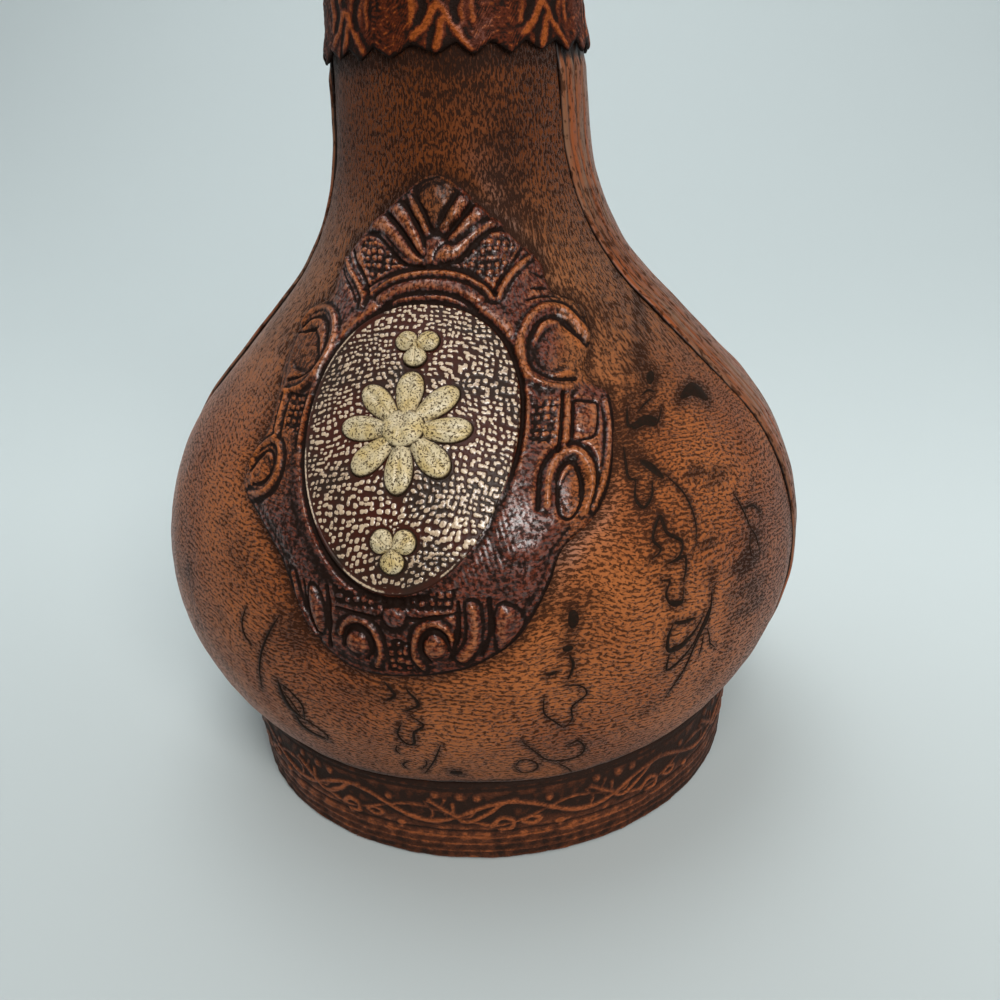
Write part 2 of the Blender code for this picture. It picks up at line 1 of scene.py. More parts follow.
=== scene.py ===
"""Looks of the leather-wrapped decanter: its leather surfaces, its stopper, and the plain stage round it."""
from math import acos, asin, ceil, cos, degrees, dist, pi, radians, sin, sqrt, tan

import bpy
import numpy as np
from bpy.props import FloatProperty, FloatVectorProperty, PointerProperty
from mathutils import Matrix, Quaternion, Vector


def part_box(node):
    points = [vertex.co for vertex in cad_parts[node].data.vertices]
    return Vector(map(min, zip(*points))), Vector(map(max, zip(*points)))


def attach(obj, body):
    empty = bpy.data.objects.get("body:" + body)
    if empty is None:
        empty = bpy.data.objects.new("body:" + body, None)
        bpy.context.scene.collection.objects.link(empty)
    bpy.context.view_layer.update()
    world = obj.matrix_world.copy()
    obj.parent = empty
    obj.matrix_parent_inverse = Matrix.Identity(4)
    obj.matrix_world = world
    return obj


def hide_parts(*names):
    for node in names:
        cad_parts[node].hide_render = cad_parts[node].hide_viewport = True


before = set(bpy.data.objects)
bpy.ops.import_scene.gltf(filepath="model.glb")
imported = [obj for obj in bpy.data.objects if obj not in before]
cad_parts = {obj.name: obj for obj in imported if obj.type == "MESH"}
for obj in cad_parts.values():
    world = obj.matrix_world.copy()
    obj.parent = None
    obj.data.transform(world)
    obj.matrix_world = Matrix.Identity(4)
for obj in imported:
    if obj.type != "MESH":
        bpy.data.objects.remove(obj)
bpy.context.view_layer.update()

bl_info = {
    "name": "Leather-wrapped decanter",
    "version": (1, 0, 0),
    "blender": (4, 5, 0),
    "location": "3D View > Sidebar > Decanter",
    "description": "Dresses the decanter's frame in tooled and embossed leather",
    "category": "Object",
}

MM = 0.001
PER_MM = 1000
TURN = 2 * pi

# Places read from the frame
BAND_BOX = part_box("base_band")
COAT_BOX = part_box("leather_front")
STRIP_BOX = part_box("side_strip_right")
COLLAR_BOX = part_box("neck_collar")
LIP_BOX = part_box("lip_roll")
CREST_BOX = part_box("crest_frame")
GLASS_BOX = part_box("glass_bottle")
CORK_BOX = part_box("stopper_cork")
SKIRT_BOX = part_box("stopper_skirt")
KNOB_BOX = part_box("stopper_knob")
BUTTON_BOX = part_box("stopper_button")
BELLY_R = -COAT_BOX[0].y
BAND_TOP_Z = BAND_BOX[1].z
BAND_TOP_R = BAND_BOX[1].x
MOUTH_Z = LIP_BOX[1].z

# The side of the bottle: arc under the belly, arc over it, cone, hollow arc, tapering neck
GAP = 0.3 * MM
BAND_PROUD = 0.67 * MM
BELLY_Z = 55.8 * MM
BELLY_ROUND_R = 51.7 * MM
SHOULDER_LEAN = radians(43.3)
SWEEP_R = 51 * MM
NECK_LEAN = radians(2.8)
# How far the cone goes in and up for each metre along it, and the hollow arc's change of radius and height
CONE_IN = sin(SHOULDER_LEAN)
CONE_UP = cos(SHOULDER_LEAN)
SWEEP_OUT = SWEEP_R * (CONE_UP - cos(NECK_LEAN))
SWEEP_UP = SWEEP_R * (CONE_IN - sin(NECK_LEAN))
NECK_TOP_R = 23.1 * MM
COAT_T = 1.8 * MM
GLASS_T = 3.5 * MM
GLASS_FLOOR_T = 5 * MM


def solve_side():
    """Lengths and leans where the side's stretches end, its lowest arc's radius, and where its cone starts.

    The cone is as long as it takes for the tapering neck to end at the mouth.
    """
    under_in = BELLY_R - (BAND_TOP_R - BAND_PROUD)
    under_h = BELLY_Z - BAND_TOP_Z
    under_r = (under_in ** 2 + under_h ** 2) / (2 * under_in)
    under_lean = asin(under_h / under_r)
    cone_r = BELLY_R - BELLY_ROUND_R * (1 - CONE_UP)
    cone_z = BELLY_Z + BELLY_ROUND_R * CONE_IN
    neck_h = MOUTH_Z - cone_z - SWEEP_UP
    cone = cone_r + SWEEP_OUT - neck_h * tan(NECK_LEAN) - NECK_TOP_R
    cone /= CONE_IN - CONE_UP * tan(NECK_LEAN)
    lengths = np.cumsum([
        0, under_r * under_lean, BELLY_ROUND_R * SHOULDER_LEAN, cone, SWEEP_R * (SHOULDER_LEAN - NECK_LEAN)
    ])
    leans = np.array([-under_lean, 0, SHOULDER_LEAN, SHOULDER_LEAN, NECK_LEAN])
    return lengths, leans, under_r, cone_r, cone_z


LENGTHS, LEANS, UNDER_R, CONE_R, CONE_Z = solve_side()


def side(along):
    """Radius, height and lean of the leather's outer side at a length along it from the band's top.

    The lean grows evenly over an arc and stays over a straight stretch. On an arc the point is the arc's
    centre plus its radius at the lean; on a straight stretch it is its start plus the length at the lean.
    """
    along = np.asarray(along, float)
    lean = np.interp(along, LENGTHS, LEANS)
    past = along - LENGTHS[2]
    cone = LENGTHS[3] - LENGTHS[2]
    sweep_r = CONE_R - cone * CONE_IN
    sweep_z = CONE_Z + cone * CONE_UP
    neck = along - LENGTHS[4]
    stretch = [along < LENGTHS[1], along < LENGTHS[2], along < LENGTHS[3], along < LENGTHS[4]]
    radius = np.select(
        stretch,
        [
            BELLY_R - UNDER_R * (1 - np.cos(lean)),
            BELLY_R - BELLY_ROUND_R * (1 - np.cos(lean)),
            CONE_R - past * CONE_IN,
            sweep_r + SWEEP_R * (CONE_UP - np.cos(lean)),
        ],
        sweep_r + SWEEP_OUT - neck * sin(NECK_LEAN),
    )
    height = np.select(
        stretch,
        [
            BELLY_Z + UNDER_R * np.sin(lean),
            BELLY_Z + BELLY_ROUND_R * np.sin(lean),
            CONE_Z + past * CONE_UP,
            sweep_z + SWEEP_R * (CONE_IN - np.sin(lean)),
        ],
        sweep_z + SWEEP_UP + neck * cos(NECK_LEAN),
    )
    return radius, height, lean


SIDE_STEPS = np.linspace(0, 0.25, 2501)


def along_at(height):
    """Length along the side at a height, read off the side's own curve."""
    return np.interp(height, side(SIDE_STEPS)[1], SIDE_STEPS)


CREST_LOW = float(along_at(CREST_BOX[0].z))
COAT_END = float(along_at(COAT_BOX[1].z))


def pair(u, v):
    """Two coordinates for each point."""
    return np.stack(np.broadcast_arrays(u, v), -1)


def ring(radius, turn, height):
    """Point at a radius from the axis, a turn from the front and a height."""
    return np.stack(np.broadcast_arrays(radius * np.sin(turn), -radius * np.cos(turn), height), -1)


def wall(turn, along, out):
    """Point at a turn from the front and a length along the side, out metres off it along its own normal."""
    radius, height, lean = side(along)
    return ring(radius + out * np.cos(lean), turn, height + out * np.sin(lean))


def crest_place(x, y):
    """Turn and length along the side, x millimetres to the right and y up the side from the crest's foot."""
    along = CREST_LOW + y * MM
    return x * MM / side(along)[0], along


def on_front(x, y, out):
    """Point at a place of the crest, out millimetres off the leather."""
    return wall(*crest_place(x, y), out * MM)


def held(value):
    """The value, held between 0 and 1."""
    return np.clip(value, 0, 1)


def smooth(low, high, value):
    """0 below low, 1 above high, and an S-curve between them."""
    share = held((value - low) / (high - low))
    return share * share * (3 - 2 * share)


def ridge(distance, half_w):
    """1 on a line, falling as a cosine to 0 at half_w from it."""
    return 0.5 + 0.5 * np.cos(np.pi * held(np.abs(distance) / half_w))


WAVES = 7


def wander(points, size, seed):
    """Smooth unevenness from about -1 to 1: a sum of plane sine waves, each about one size long.

    Their directions and lengths are drawn from the seed, so they are the same each time.
    """
    draw = np.random.default_rng(seed)
    total = np.zeros(points.shape[:-1])
    for _ in range(WAVES):
        direction = draw.normal(size=3)
        direction /= np.linalg.norm(direction) * size * draw.uniform(0.7, 1.6)
        total += np.sin(TURN * (points @ direction) + draw.uniform(0, TURN))
    return total / sqrt(WAVES)


def scatter(column, row, seed):
    """A fixed random number from 0 to 1 for each whole pair: the fraction of a large sine."""
    value = np.sin(column * 12.9898 + row * 78.233 + seed * 37.719) * 43758.5453
    return value - np.floor(value)


def through(points, steps=8, closed=False):
    """Smooth curve through points: cubics whose slope at a point is half the way between its neighbours."""
    p = np.asarray(points, float)
    if closed:
        p = np.concatenate((p[-1:], p, p[:2]))
    else:
        p = np.concatenate((2 * p[:1] - p[1:2], p, 2 * p[-1:] - p[-2:-1]))
    t = (np.arange(steps) / steps)[None, :, None]
    a, b, c, d = p[:-3, None], p[1:-2, None], p[2:-1, None], p[3:, None]
    curve = b + 0.5 * t * (c - a + t * (2 * a - 5 * b + 4 * c - d + t * (3 * (b - c) + d - a)))
    curve = curve.reshape(-1, p.shape[1])
    return curve if closed else np.concatenate((curve, p[-2:-1]))


def off_path(x, y, path):
    """Distance from each point to a path of straight runs, and the share of the path at the nearest place."""
    best = np.full(np.shape(x), np.inf)
    share = np.zeros(np.shape(x))
    runs = len(path) - 1
    for run in range(runs):
        (ax, ay), (bx, by) = path[run], path[run + 1]
        dx, dy = bx - ax, by - ay
        t = held(((x - ax) * dx + (y - ay) * dy) / (dx * dx + dy * dy + 1e-12))
        distance = np.hypot(x - ax - t * dx, y - ay - t * dy)
        nearer = distance < best
        share = np.where(nearer, (run + t) / runs, share)
        best = np.where(nearer, distance, best)
    return best, share


def beside(x, y, path, reach):
    """Whether each point lies in the box of a path widened by a reach."""
    (low_x, low_y), (high_x, high_y) = path.min(0) - reach, path.max(0) + reach
    return (x > low_x) & (x < high_x) & (y > low_y) & (y < high_y)


def within(x, y, corners):
    """Signed distance to an outline, positive where a line to the right crosses it an odd number of times."""
    loop = list(corners) + [corners[0]]
    inside = np.zeros(np.shape(x), bool)
    for (ax, ay), (bx, by) in zip(loop[:-1], loop[1:]):
        crosses = (ay > y) != (by > y)
        inside ^= crosses & (x < (bx - ax) * (y - ay) / (by - ay + 1e-12) + ax)
    distance = off_path(x, y, loop)[0]
    return np.where(inside, distance, -distance)


def blur(values, passes, wrap):
    """Each value becomes the mean of itself and its neighbours, passes times over; wrap joins end rows."""
    mode = "wrap" if wrap else "edge"
    for _ in range(passes):
        padded = np.pad(values, ((1, 1), (0, 0)), mode=mode)
        values = (padded[:-2] + padded[1:-1] + padded[2:]) / 3
        padded = np.pad(values, ((0, 0), (1, 1)), mode="edge")
        values = (padded[:, :-2] + padded[:, 1:-1] + padded[:, 2:]) / 3
    return values


def rubbed(height, passes, reach, wrap=False):
    """Wear from the relief itself: 0.5 on plain ground, up to 1 on high places and down to 0 in hollows."""
    inner = height[:-1] if wrap else height
    worn = 0.5 + 0.5 * np.tanh((inner - blur(inner, passes, wrap)) / reach)
    return np.concatenate((worn, worn[:1])) if wrap else worn


def pebbles(x, y, pitch_x, pitch_y, seed, loose=0.3, least=0.24):
    """Height from 0 to 1 of rounded squares in loose rows: the highest of the nearest nine at each point."""
    best = np.zeros(np.shape(x))
    column = np.floor(x / pitch_x)
    row = np.floor(y / pitch_y)
    for down in (-1, 0, 1):
        for across in (-1, 0, 1):
            i, j = column + across, row + down
            shift_x = loose * (scatter(i, j, seed) - 0.5)
            shift_y = loose * (scatter(i, j, seed + 1) - 0.5)
            half_w = pitch_x * (least + 0.26 * scatter(i, j, seed + 2) ** 1.5)
            half_h = pitch_y * (0.85 * least + 0.18 * scatter(i, j, seed + 3))
            dx = np.abs(x - (i + 0.5 + shift_x) * pitch_x) / half_w
            dy = np.abs(y - (j + 0.5 + shift_y) * pitch_y) / half_h
            best = np.maximum(best, 1 - (dx ** 3 + dy ** 3))
    return held(best) ** 0.4


def grid_faces(rows, columns, wrap=False):
    """Rows and columns of the corners of the faces between neighbours; wrap goes on past the last column."""
    i, j = np.meshgrid(np.arange(rows - 1), np.arange(columns if wrap else columns - 1), indexing="ij")
    corners = ((i, j), (i + 1, j), (i + 1, j + 1), (i, j + 1))
    return np.stack([np.stack(corner, -1).reshape(-1, 2) for corner in corners], 1)


def build(name, points, faces, uv=None, uv_faces=None, tones=None):
    """Mesh from points and lists of faces; uv_faces holds the same faces as numbers into the uv list."""
    mesh = bpy.data.meshes.new(name)
    loops = np.concatenate([part.ravel() for part in faces])
    sizes = np.concatenate([np.full(len(part), part.shape[1]) for part in faces])
    mesh.vertices.add(len(points))
    mesh.vertices.foreach_set("co", points.astype(np.float32).ravel())
    mesh.loops.add(len(loops))
    mesh.loops.foreach_set("vertex_index", loops.astype(np.int32))
    mesh.polygons.add(len(sizes))
    mesh.polygons.foreach_set("loop_start", (np.cumsum(sizes) - sizes).astype(np.int32))
    mesh.update(calc_edges=True)
    if uv is not None:
        corners = np.concatenate([part.ravel() for part in uv_faces])
        mesh.uv_layers.new(name="lay").data.foreach_set("uv", uv[corners].astype(np.float32).ravel())
    for tone, values in (tones or {}).items():
        layer = mesh.attributes.new(tone, "FLOAT", "POINT")
        layer.data.foreach_set("value", values.astype(np.float32).ravel())
    if mesh.validate():
        raise RuntimeError("the mesh of %s has faulty faces" % name)
    mesh.shade_smooth()
    return mesh


# Rows and columns of a sheet's outer grid for each one of its inner grid
FINE = 4


def sheet_mesh(name, outer, inner, wrap=False):
    """Closed sheet of leather from two grids, each a dictionary of co, uv and any tones.

    The outer grid is finer than the inner one. Their rims are joined by faces that have several edges
    outside and one inside. With wrap the last row is the first one again.
    """
    rows, columns = outer["co"].shape[:2]
    inner_rows, inner_columns = inner["co"].shape[:2]
    full, inner_full = (rows - 1, inner_rows - 1) if wrap else (rows, inner_rows)
    i, j = np.arange(rows), np.arange(columns)
    p, q = np.arange(inner_rows), np.arange(inner_columns)
    # Rims: places of their outer corners, places of their inner ones, and whether the faces are flipped
    rims = [((i, 0), (p, 0), False), ((i, columns - 1), (p, inner_columns - 1), True)]
    if not wrap:
        rims += [((0, j), (0, q), True), ((rows - 1, j), (inner_rows - 1, q), False)]

    def numbers(line, first, width, around):
        """Corner numbers of rows and columns, where the rows start again after around of them."""
        return first + line[0] % around * width + line[1]

    top = np.moveaxis(grid_faces(rows, columns), -1, 0)
    low = np.moveaxis(grid_faces(inner_rows, inner_columns)[:, ::-1], -1, 0)
    numbered = []
    # Faces as numbers of points, whose first row is also the last one, then of flat coordinates
    for around, inner_around in ((full, inner_full), (rows, inner_rows)):
        start = around * columns
        faces = [numbers(top, 0, columns, around), numbers(low, start, inner_columns, inner_around)]
        for line, inner_line, flip in rims:
            far = numbers(line, 0, columns, around)
            near = numbers(inner_line, start, inner_columns, inner_around)
            run = np.arange(len(near) - 1)[:, None] * FINE + np.arange(FINE + 1)
            face = np.concatenate((far[run][:, ::-1], near[:-1, None], near[1:, None]), 1)
            faces.append(face[:, ::-1] if flip else face)
        numbered.append(faces)
    points = np.concatenate((outer["co"][:full].reshape(-1, 3), inner["co"][:inner_full].reshape(-1, 3)))
    uv = np.concatenate((outer["uv"].reshape(-1, 2), inner["uv"].reshape(-1, 2)))
    under = np.zeros(inner_full * inner_columns)
    tones = {
        tone: np.concatenate((values[:full].ravel(), under))
        for tone, values in outer.items() if tone not in ("co", "uv")
    }
    return build(name, points, numbered[0], uv, numbered[1], tones)


def round_mesh(name, grid, uv, tones=None, poles=False):
    """Closed body from rings round an axis: grid is (turns, places on the section).

    The section is a closed loop, or with poles an open one whose first and last places are single points.
    """
    turns, places = grid.shape[:2]
    full = turns - 1
    if not poles:
        face = grid_faces(turns, places, True)
        faces = [(face[..., 0] % full) * places + face[..., 1] % places]
        uv_grid = np.concatenate((uv, uv[:, :1]), 1)
        uv_faces = [face[..., 0] * (places + 1) + face[..., 1]]
        flat = {tone: values[:full].ravel() for tone, values in (tones or {}).items()}
        return build(name, grid[:full].reshape(-1, 3), faces, uv_grid.reshape(-1, 2), uv_faces, flat)
    body = grid[:full, 1:-1]
    inner = places - 2
    first, last = full * inner, full * inner + 1
    face = grid_faces(turns, inner)
    faces = [(face[..., 0] % full) * inner + face[..., 1]]
    uv_faces = [face[..., 0] * places + face[..., 1] + 1]
    i = np.arange(full)
    near, far = i * inner, (i + 1) % full * inner
    faces.append(np.stack((0 * i + first, far, near), -1))
    uv_faces.append(np.stack((i * places, (i + 1) * places + 1, i * places + 1), -1))
    faces.append(np.stack((0 * i + last, near + inner - 1, far + inner - 1), -1))
    uv_faces.append(np.stack((i * places + places - 1, (i + 1) * places - 2, (i + 2) * places - 2), -1))
    points = np.concatenate((body.reshape(-1, 3), grid[:1, 0], grid[:1, -1]))
    flat = {
        tone: np.concatenate((values[:full, 1:-1].ravel(), values[0, :1], values[0, -1:]))
        for tone, values in (tones or {}).items()
    }
    return build(name, points, faces, uv.reshape(-1, 2), uv_faces, flat)


TURNED_STEPS = 96


def turned_mesh(name, section, poles=False, uneven=0, seed=0):
    """A turned body: each point (radius, height) of a section goes round the axis.

    It is pushed in and out by about uneven metres.
    """
    section = np.asarray(section, float)
    turn = np.linspace(-pi, pi, TURNED_STEPS + 1)[:, None]
    radius, height = section[None, :, 0], section[None, :, 1]
    grid = ring(radius, turn, height)
    if uneven:
        push = 1 + uneven * wander(grid, 12 * MM, seed) / np.maximum(radius, 4 * MM) * (radius > 0)
        grid[..., :2] *= push[..., None]
    length = np.concatenate(([0], np.cumsum(np.hypot(*np.diff(section, axis=0).T))))
    return round_mesh(name, grid, pair(turn * radius.max(), length), None, poles)


def bend(centre, radius, start, end, steps):
    """Points (radius, height) on an arc from a start to an end angle, in degrees above the way out."""
    angle = np.radians(np.linspace(start, end, steps + 1))
    return [(centre[0] + radius * cos(a), centre[1] + radius * sin(a)) for a in angle]


def add_piece(mesh, material, body, slot, *nodes):
    """The finished piece takes its material, rides on its body and stands for its nodes of the frame."""
    piece = bpy.data.objects.new(mesh.name, mesh)
    bpy.context.scene.collection.objects.link(piece)
    mesh.materials.append(material)
    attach(piece, body)
    if nodes:
        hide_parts(*nodes)


def expression(operation, flipped=False):
    """A method of Wire that adds one Math node; flipped is for an operator's reflected form."""

    def method(self, *others):
        values = (*others, self) if flipped else (self, *others)
        return self.finish.add("Math", {"operation": operation}, dict(enumerate(values)))

    return method


class Wire:
    """A shader socket that adds Math nodes when it is used in an expression."""

    def __init__(self, finish, socket):
        self.finish = finish
        self.socket = socket

    __add__ = expression("ADD")
    __radd__ = expression("ADD", True)
    __sub__ = expression("SUBTRACT")
    __rsub__ = expression("SUBTRACT", True)
    __mul__ = expression("MULTIPLY")
    __rmul__ = expression("MULTIPLY", True)
    sine = expression("SINE")
    highest = expression("MAXIMUM")

    def ramp(self, low, high, to_low=0, to_high=1):
        """S-curve from to_low at low to to_high at high."""
        settings = {"interpolation_type": "SMOOTHSTEP"}
        return self.finish.add("MapRange", settings, {0: self, 1: low, 2: high, 3: to_low, 4: to_high})

    def mix(self, low, high):
        """The number low where this is 0 and high where it is 1."""
        return self.finish.add("Mix", {"data_type": "FLOAT"}, {0: self, 2: low, 3: high})

    def tint(self, low, high):
        """The colour low where this is 0 and high where it is 1."""
        low, high = (value if isinstance(value, Wire) else tinted(value) for value in (low, high))
        return self.finish.add("Mix", {"data_type": "RGBA"}, {0: self, 6: low, 7: high}, 2)


class NodeSheet:
    """A node tree that is being written."""

    def __init__(self, tree):
        self.tree = tree

    def add(self, kind, settings=None, inputs=None, out=0):
        """A node: its settings are set first, then its sockets' values or links; gives one of its outputs."""
        node = self.tree.nodes.new("ShaderNode" + kind)
        for key, value in (settings or {}).items():
            setattr(node, key, value)
        for key, value in (inputs or {}).items():
            if isinstance(value, Wire):
                self.tree.links.new(value.socket, node.inputs[key])
            else:
                node.inputs[key].default_value = value
        return Wire(self, node.outputs[out])

    def parts(self, vector):
        """The three numbers of a vector."""
        node = self.add("SeparateXYZ", inputs={0: vector}).socket.node
        return [Wire(self, socket) for socket in node.outputs]


class Finish(NodeSheet):
    """A material in the making: one Principled surface and the nodes that feed it."""

    def __init__(self, name, roughness=0.5, specular=0.5, polish=0.3, sheen=0):
        self.material = bpy.data.materials.new(name)
        self.material.use_nodes = True
        super().__init__(self.material.node_tree)
        self.surface = self.tree.nodes["Principled BSDF"]
        self.fix(Roughness=roughness, Specular_IOR_Level=specular, Coat_Roughness=polish)
        self.fix(Sheen_Weight=sheen, Sheen_Roughness=SHEEN_SPREAD)

    def fix(self, **values):
        """Set the surface's own sockets; a socket's name has _ for its spaces."""
        for name, value in values.items():
            self.surface.inputs[name.replace("_", " ")].default_value = value

    def feed(self, **wires):
        """Link wires to the surface's sockets; a socket's name has _ for its spaces."""
        for name, wire in wires.items():
            self.tree.links.new(wire.socket, self.surface.inputs[name.replace("_", " ")])

    def lay(self):
        """The piece's own flat coordinates in metres, as a vector."""
        return self.add("TexCoord", out=2)

    def place(self):
        """Coordinates in the frame, in metres, as a vector."""
        return self.add("TexCoord", out=3)

    def vector(self, x, y, z=0):
        """Three numbers as one vector."""
        return self.add("CombineXYZ", inputs={0: x, 1: y, 2: z})

    def noise(self, vector, scale, detail=2, roughness=0.5, distortion=0):
        """Noise from 0 to 1 whose features are 1 / scale millimetres long."""
        return self.add("TexNoise", None, {
            "Vector": vector, "Scale": scale * PER_MM, "Detail": detail, "Roughness": roughness,
            "Distortion": distortion,
        })

    def tone(self, name):
        """A number that the mesh carries at each point."""
        return self.add("Attribute", {"attribute_name": name}, None, 2)

    def bump(self, height, depth):
        """Normal that makes a height of 1 look depth metres high."""
        return self.add("Bump", None, {"Strength": 1, "Distance": depth, "Height": height})


# Gloss of the leather itself, then roughness of the wax on coat, crest and trimmings
LEATHER_GLOSS = 0.07
COAT_POLISH = 0.36
CREST_POLISH = 0.26
TRIM_POLISH = 0.32
CREST_WAX_IOR = 1.6
SHIELD_WAX_IOR = 1.85
# Fine fibres that catch a grazing light
COAT_SHEEN = 0.15
STRIP_SHEEN = 0.07
SHEEN_SPREAD = 0.2
# Dashes on the belly: distance between their rows, and how much the rows fall to the right
ROW_PITCH = 1.07 * MM
ROW_TILT = radians(-11)
# Height over which the crest's gloss comes up from its foot
CREST_DULL_H = 22 * MM


def tinted(colour, share=1):
    """A colour of the panel with full opacity, made lighter or darker by a share."""
    return (colour[0] * share, colour[1] * share, colour[2] * share, 1)


def coat_grain(f, shade):
    """Ground colour and dark share of the antiqued coat leather, darker where the mesh's shade is high.

    Dark dashes stand in rows on the belly, streaks run up the shoulder, and worms cover the neck.
    """
    hues = bpy.context.scene.decanter_hues
    u, v, _ = f.parts(f.lay())
    place = f.place()
    height = f.parts(place)[2]
    drift = (f.noise(place, 0.045, 1) - 0.5) * (9 * MM)
    p = u * cos(ROW_TILT) + v * sin(ROW_TILT)
    q = v * cos(ROW_TILT) - u * sin(ROW_TILT) + drift
    rows = (q * (TURN / ROW_PITCH)).sine()
    dashes = f.noise(f.vector(p * 1.05, q * 1.75), 1.15, 4, 0.66, 0.3) + rows * 0.03
    streaks = f.noise(f.vector(u * 1.45, v * 0.58 + drift), 1, 4, 0.66, 0.3)
    worms = f.noise(f.vector(u, v * 0.74), 1.2, 3, 0.6, 0.5)
    shoulder = height.ramp(86 * MM, 112 * MM)
    neck = height.ramp(116 * MM, 142 * MM)
    grain = neck.mix(shoulder.mix(dashes, streaks), worms)
    clouds = f.noise(place, 0.035, 3, 0.55)
    stains = f.noise(place, 0.055, 4, 0.6).ramp(0.56, 0.74)
    line = 0.498 + (0.5 - clouds) * 0.14 + stains * 0.05 + neck * 0.005 + shade * 0.08
    dark = 1 - (grain - line).ramp(-0.06, 0.035)
    ground = (clouds - neck * 0.1).ramp(0.26, 0.74).tint(hues.coat_red, hues.coat_tan)
    ground = (shoulder * 0.75).tint(ground, hues.coat_brown)
    speck = f.noise(place, 2.4, 2)
    ground = speck.ramp(0.35, 0.75, 0, 0.3).tint(ground, tinted(hues.coat_tan, 1.3))
    ground = (stains * 0.45).tint(ground, tinted(hues.coat_dark, 1.6))
    ground = (neck * 0.9).tint(ground, tinted(hues.coat_red, 0.58))
    return ground, dark, speck, neck


def coat_finish(hues):
    """Antiqued tan leather, half glossy where it is raised."""
    f = Finish("antiqued coat leather", specular=LEATHER_GLOSS, polish=COAT_POLISH, sheen=COAT_SHEEN)
    shade = f.tone("shade")
    ground, dark, speck, neck = coat_grain(f, shade)
    colour = (dark * neck.mix(0.86, 0.95)).tint(ground, hues.coat_dark)
    # Stains and painted shade carried by the mesh darken the colour
    colour = (shade * 0.8).tint(colour, tinted(hues.coat_dark, 0.7))
    f.feed(
        Base_Color=colour,
        Roughness=dark.mix(0.42, 0.6) + speck * 0.08,
        Coat_Weight=(1 - dark) * neck.mix(0.25, 0.06),
        Normal=f.bump((1 - dark) * 0.7 + speck * 0.3, 0.14 * MM),
    )
    return f.material


def crest_finish(hues):
    """The coat's leather pressed into relief: black in its hollows, orange where rubbed, dull at its foot."""
    f = Finish("embossed crest leather", specular=LEATHER_GLOSS, polish=CREST_POLISH)
    f.fix(Coat_IOR=CREST_WAX_IOR)
    tone = f.tone("tone")
    ground, dark, _, _ = coat_grain(f, 0.35 - tone * 0.7)
    broad = f.noise(f.place(), 0.1, 2)
    stipple = f.noise(f.place(), 1.35, 2, 0.6, 0.3)
    red = (f.tone("red") + (broad - 0.5) * 0.9).ramp(0.25, 0.85)
    foot_z = CREST_BOX[0].z
    risen = f.parts(f.place())[2].ramp(foot_z, foot_z + CREST_DULL_H, 0.3, 1)
    shine = f.tone("red").ramp(0.3, 0.9, 0.25, 1) * risen
    ground = red.tint(ground, hues.crest_ground)
    worn = tone + (stipple - 0.5) * 0.7 + (broad - 0.5) * 0.3
    colour = worn.ramp(0.54, 0.96).tint(ground, hues.crest_high)
    colour = (dark * worn.ramp(0.4, 0.9, 0.85, 0.5)).tint(colour, hues.crest_low)
    colour = (stipple.ramp(0.47, 0.38) * 0.6).tint(colour, hues.crest_low)
    colour = worn.ramp(0.44, 0.16).tint(colour, hues.crest_low)
    f.feed(
        Base_Color=colour,
        Roughness=worn.ramp(0.2, 0.7, 0.62, 0.45),
        Coat_Weight=worn.ramp(0.08, 0.5) * stipple.ramp(0.43, 0.56, 0.12, 1) * shine,
        Normal=f.bump((1 - dark) * 0.5 + stipple * 0.5, 0.1 * MM),
    )
    return f.material


def relief_finish(hues, part, dullness):
    """Embossed leather of the band or the collar: dark in its hollows, rubbed to rust or orange on top."""
    low, ground, high = (getattr(hues, part + level) for level in ("_low", "_ground", "_high"))
    f = Finish("embossed %s leather" % part, specular=LEATHER_GLOSS, polish=TRIM_POLISH)
    place = f.place()
    tone = f.tone("tone")
    fine = f.noise(place, 1.9, 3, 0.6)
    broad = f.noise(place, 0.13, 3, 0.6)
    worn = tone + (fine - 0.5) * 0.55 + (broad - 0.5) * 0.6
    colour = worn.ramp(0.2, 0.52).tint(low, ground)
    colour = worn.ramp(0.58, 0.94).tint(colour, high)
    x, y, z = f.parts(place)
    pits = f.noise(f.vector(x, y, z * 1.5), 1.35, 2, 0.5, 0.5).ramp(0.53, 0.42)
    colour = (pits * 0.35).tint(colour, low)
    f.feed(
        Base_Color=colour,
        Roughness=worn.ramp(0.2, 0.8, dullness + 0.14, dullness),
        Coat_Weight=worn.ramp(0.35, 0.8) * (1 - pits) * 0.18,
        Normal=f.bump(fine * 0.6 - pits * 0.7, 0.1 * MM),
    )
    return f.material


def shield_finish(hues):
    """Dark ground with rubbed cream tops on its pebbles, and a thin cream line inside the rim."""
    f = Finish("pebbled shield leather", specular=LEATHER_GLOSS, polish=CREST_POLISH)
    f.fix(Coat_IOR=SHIELD_WAX_IOR)
    place = f.place()
    pebble = f.tone("pebble")
    fine = f.noise(place, 2.2, 2, 0.6)
    patch = f.noise(place, 0.1, 3, 0.6)
    share = pebble + (fine - 0.5) + (patch - 0.5) * 0.4
    base = patch.ramp(0.35, 0.65).tint(hues.shield_dark, tinted(hues.crest_ground, 0.35))
    top = (patch + (fine - 0.5)).ramp(0.2, 0.56).tint(hues.pebble_dim, hues.pebble_top)
    colour = share.ramp(0.4, 0.8).tint(base, top)
    f.feed(
        Base_Color=colour,
        Roughness=share.ramp(0.3, 0.8, 0.6, 0.42),
        Coat_Weight=share.ramp(0.3, 0.7, 0.12, 1),
        Normal=f.bump(fine, 0.03 * MM),
    )
    return f.material


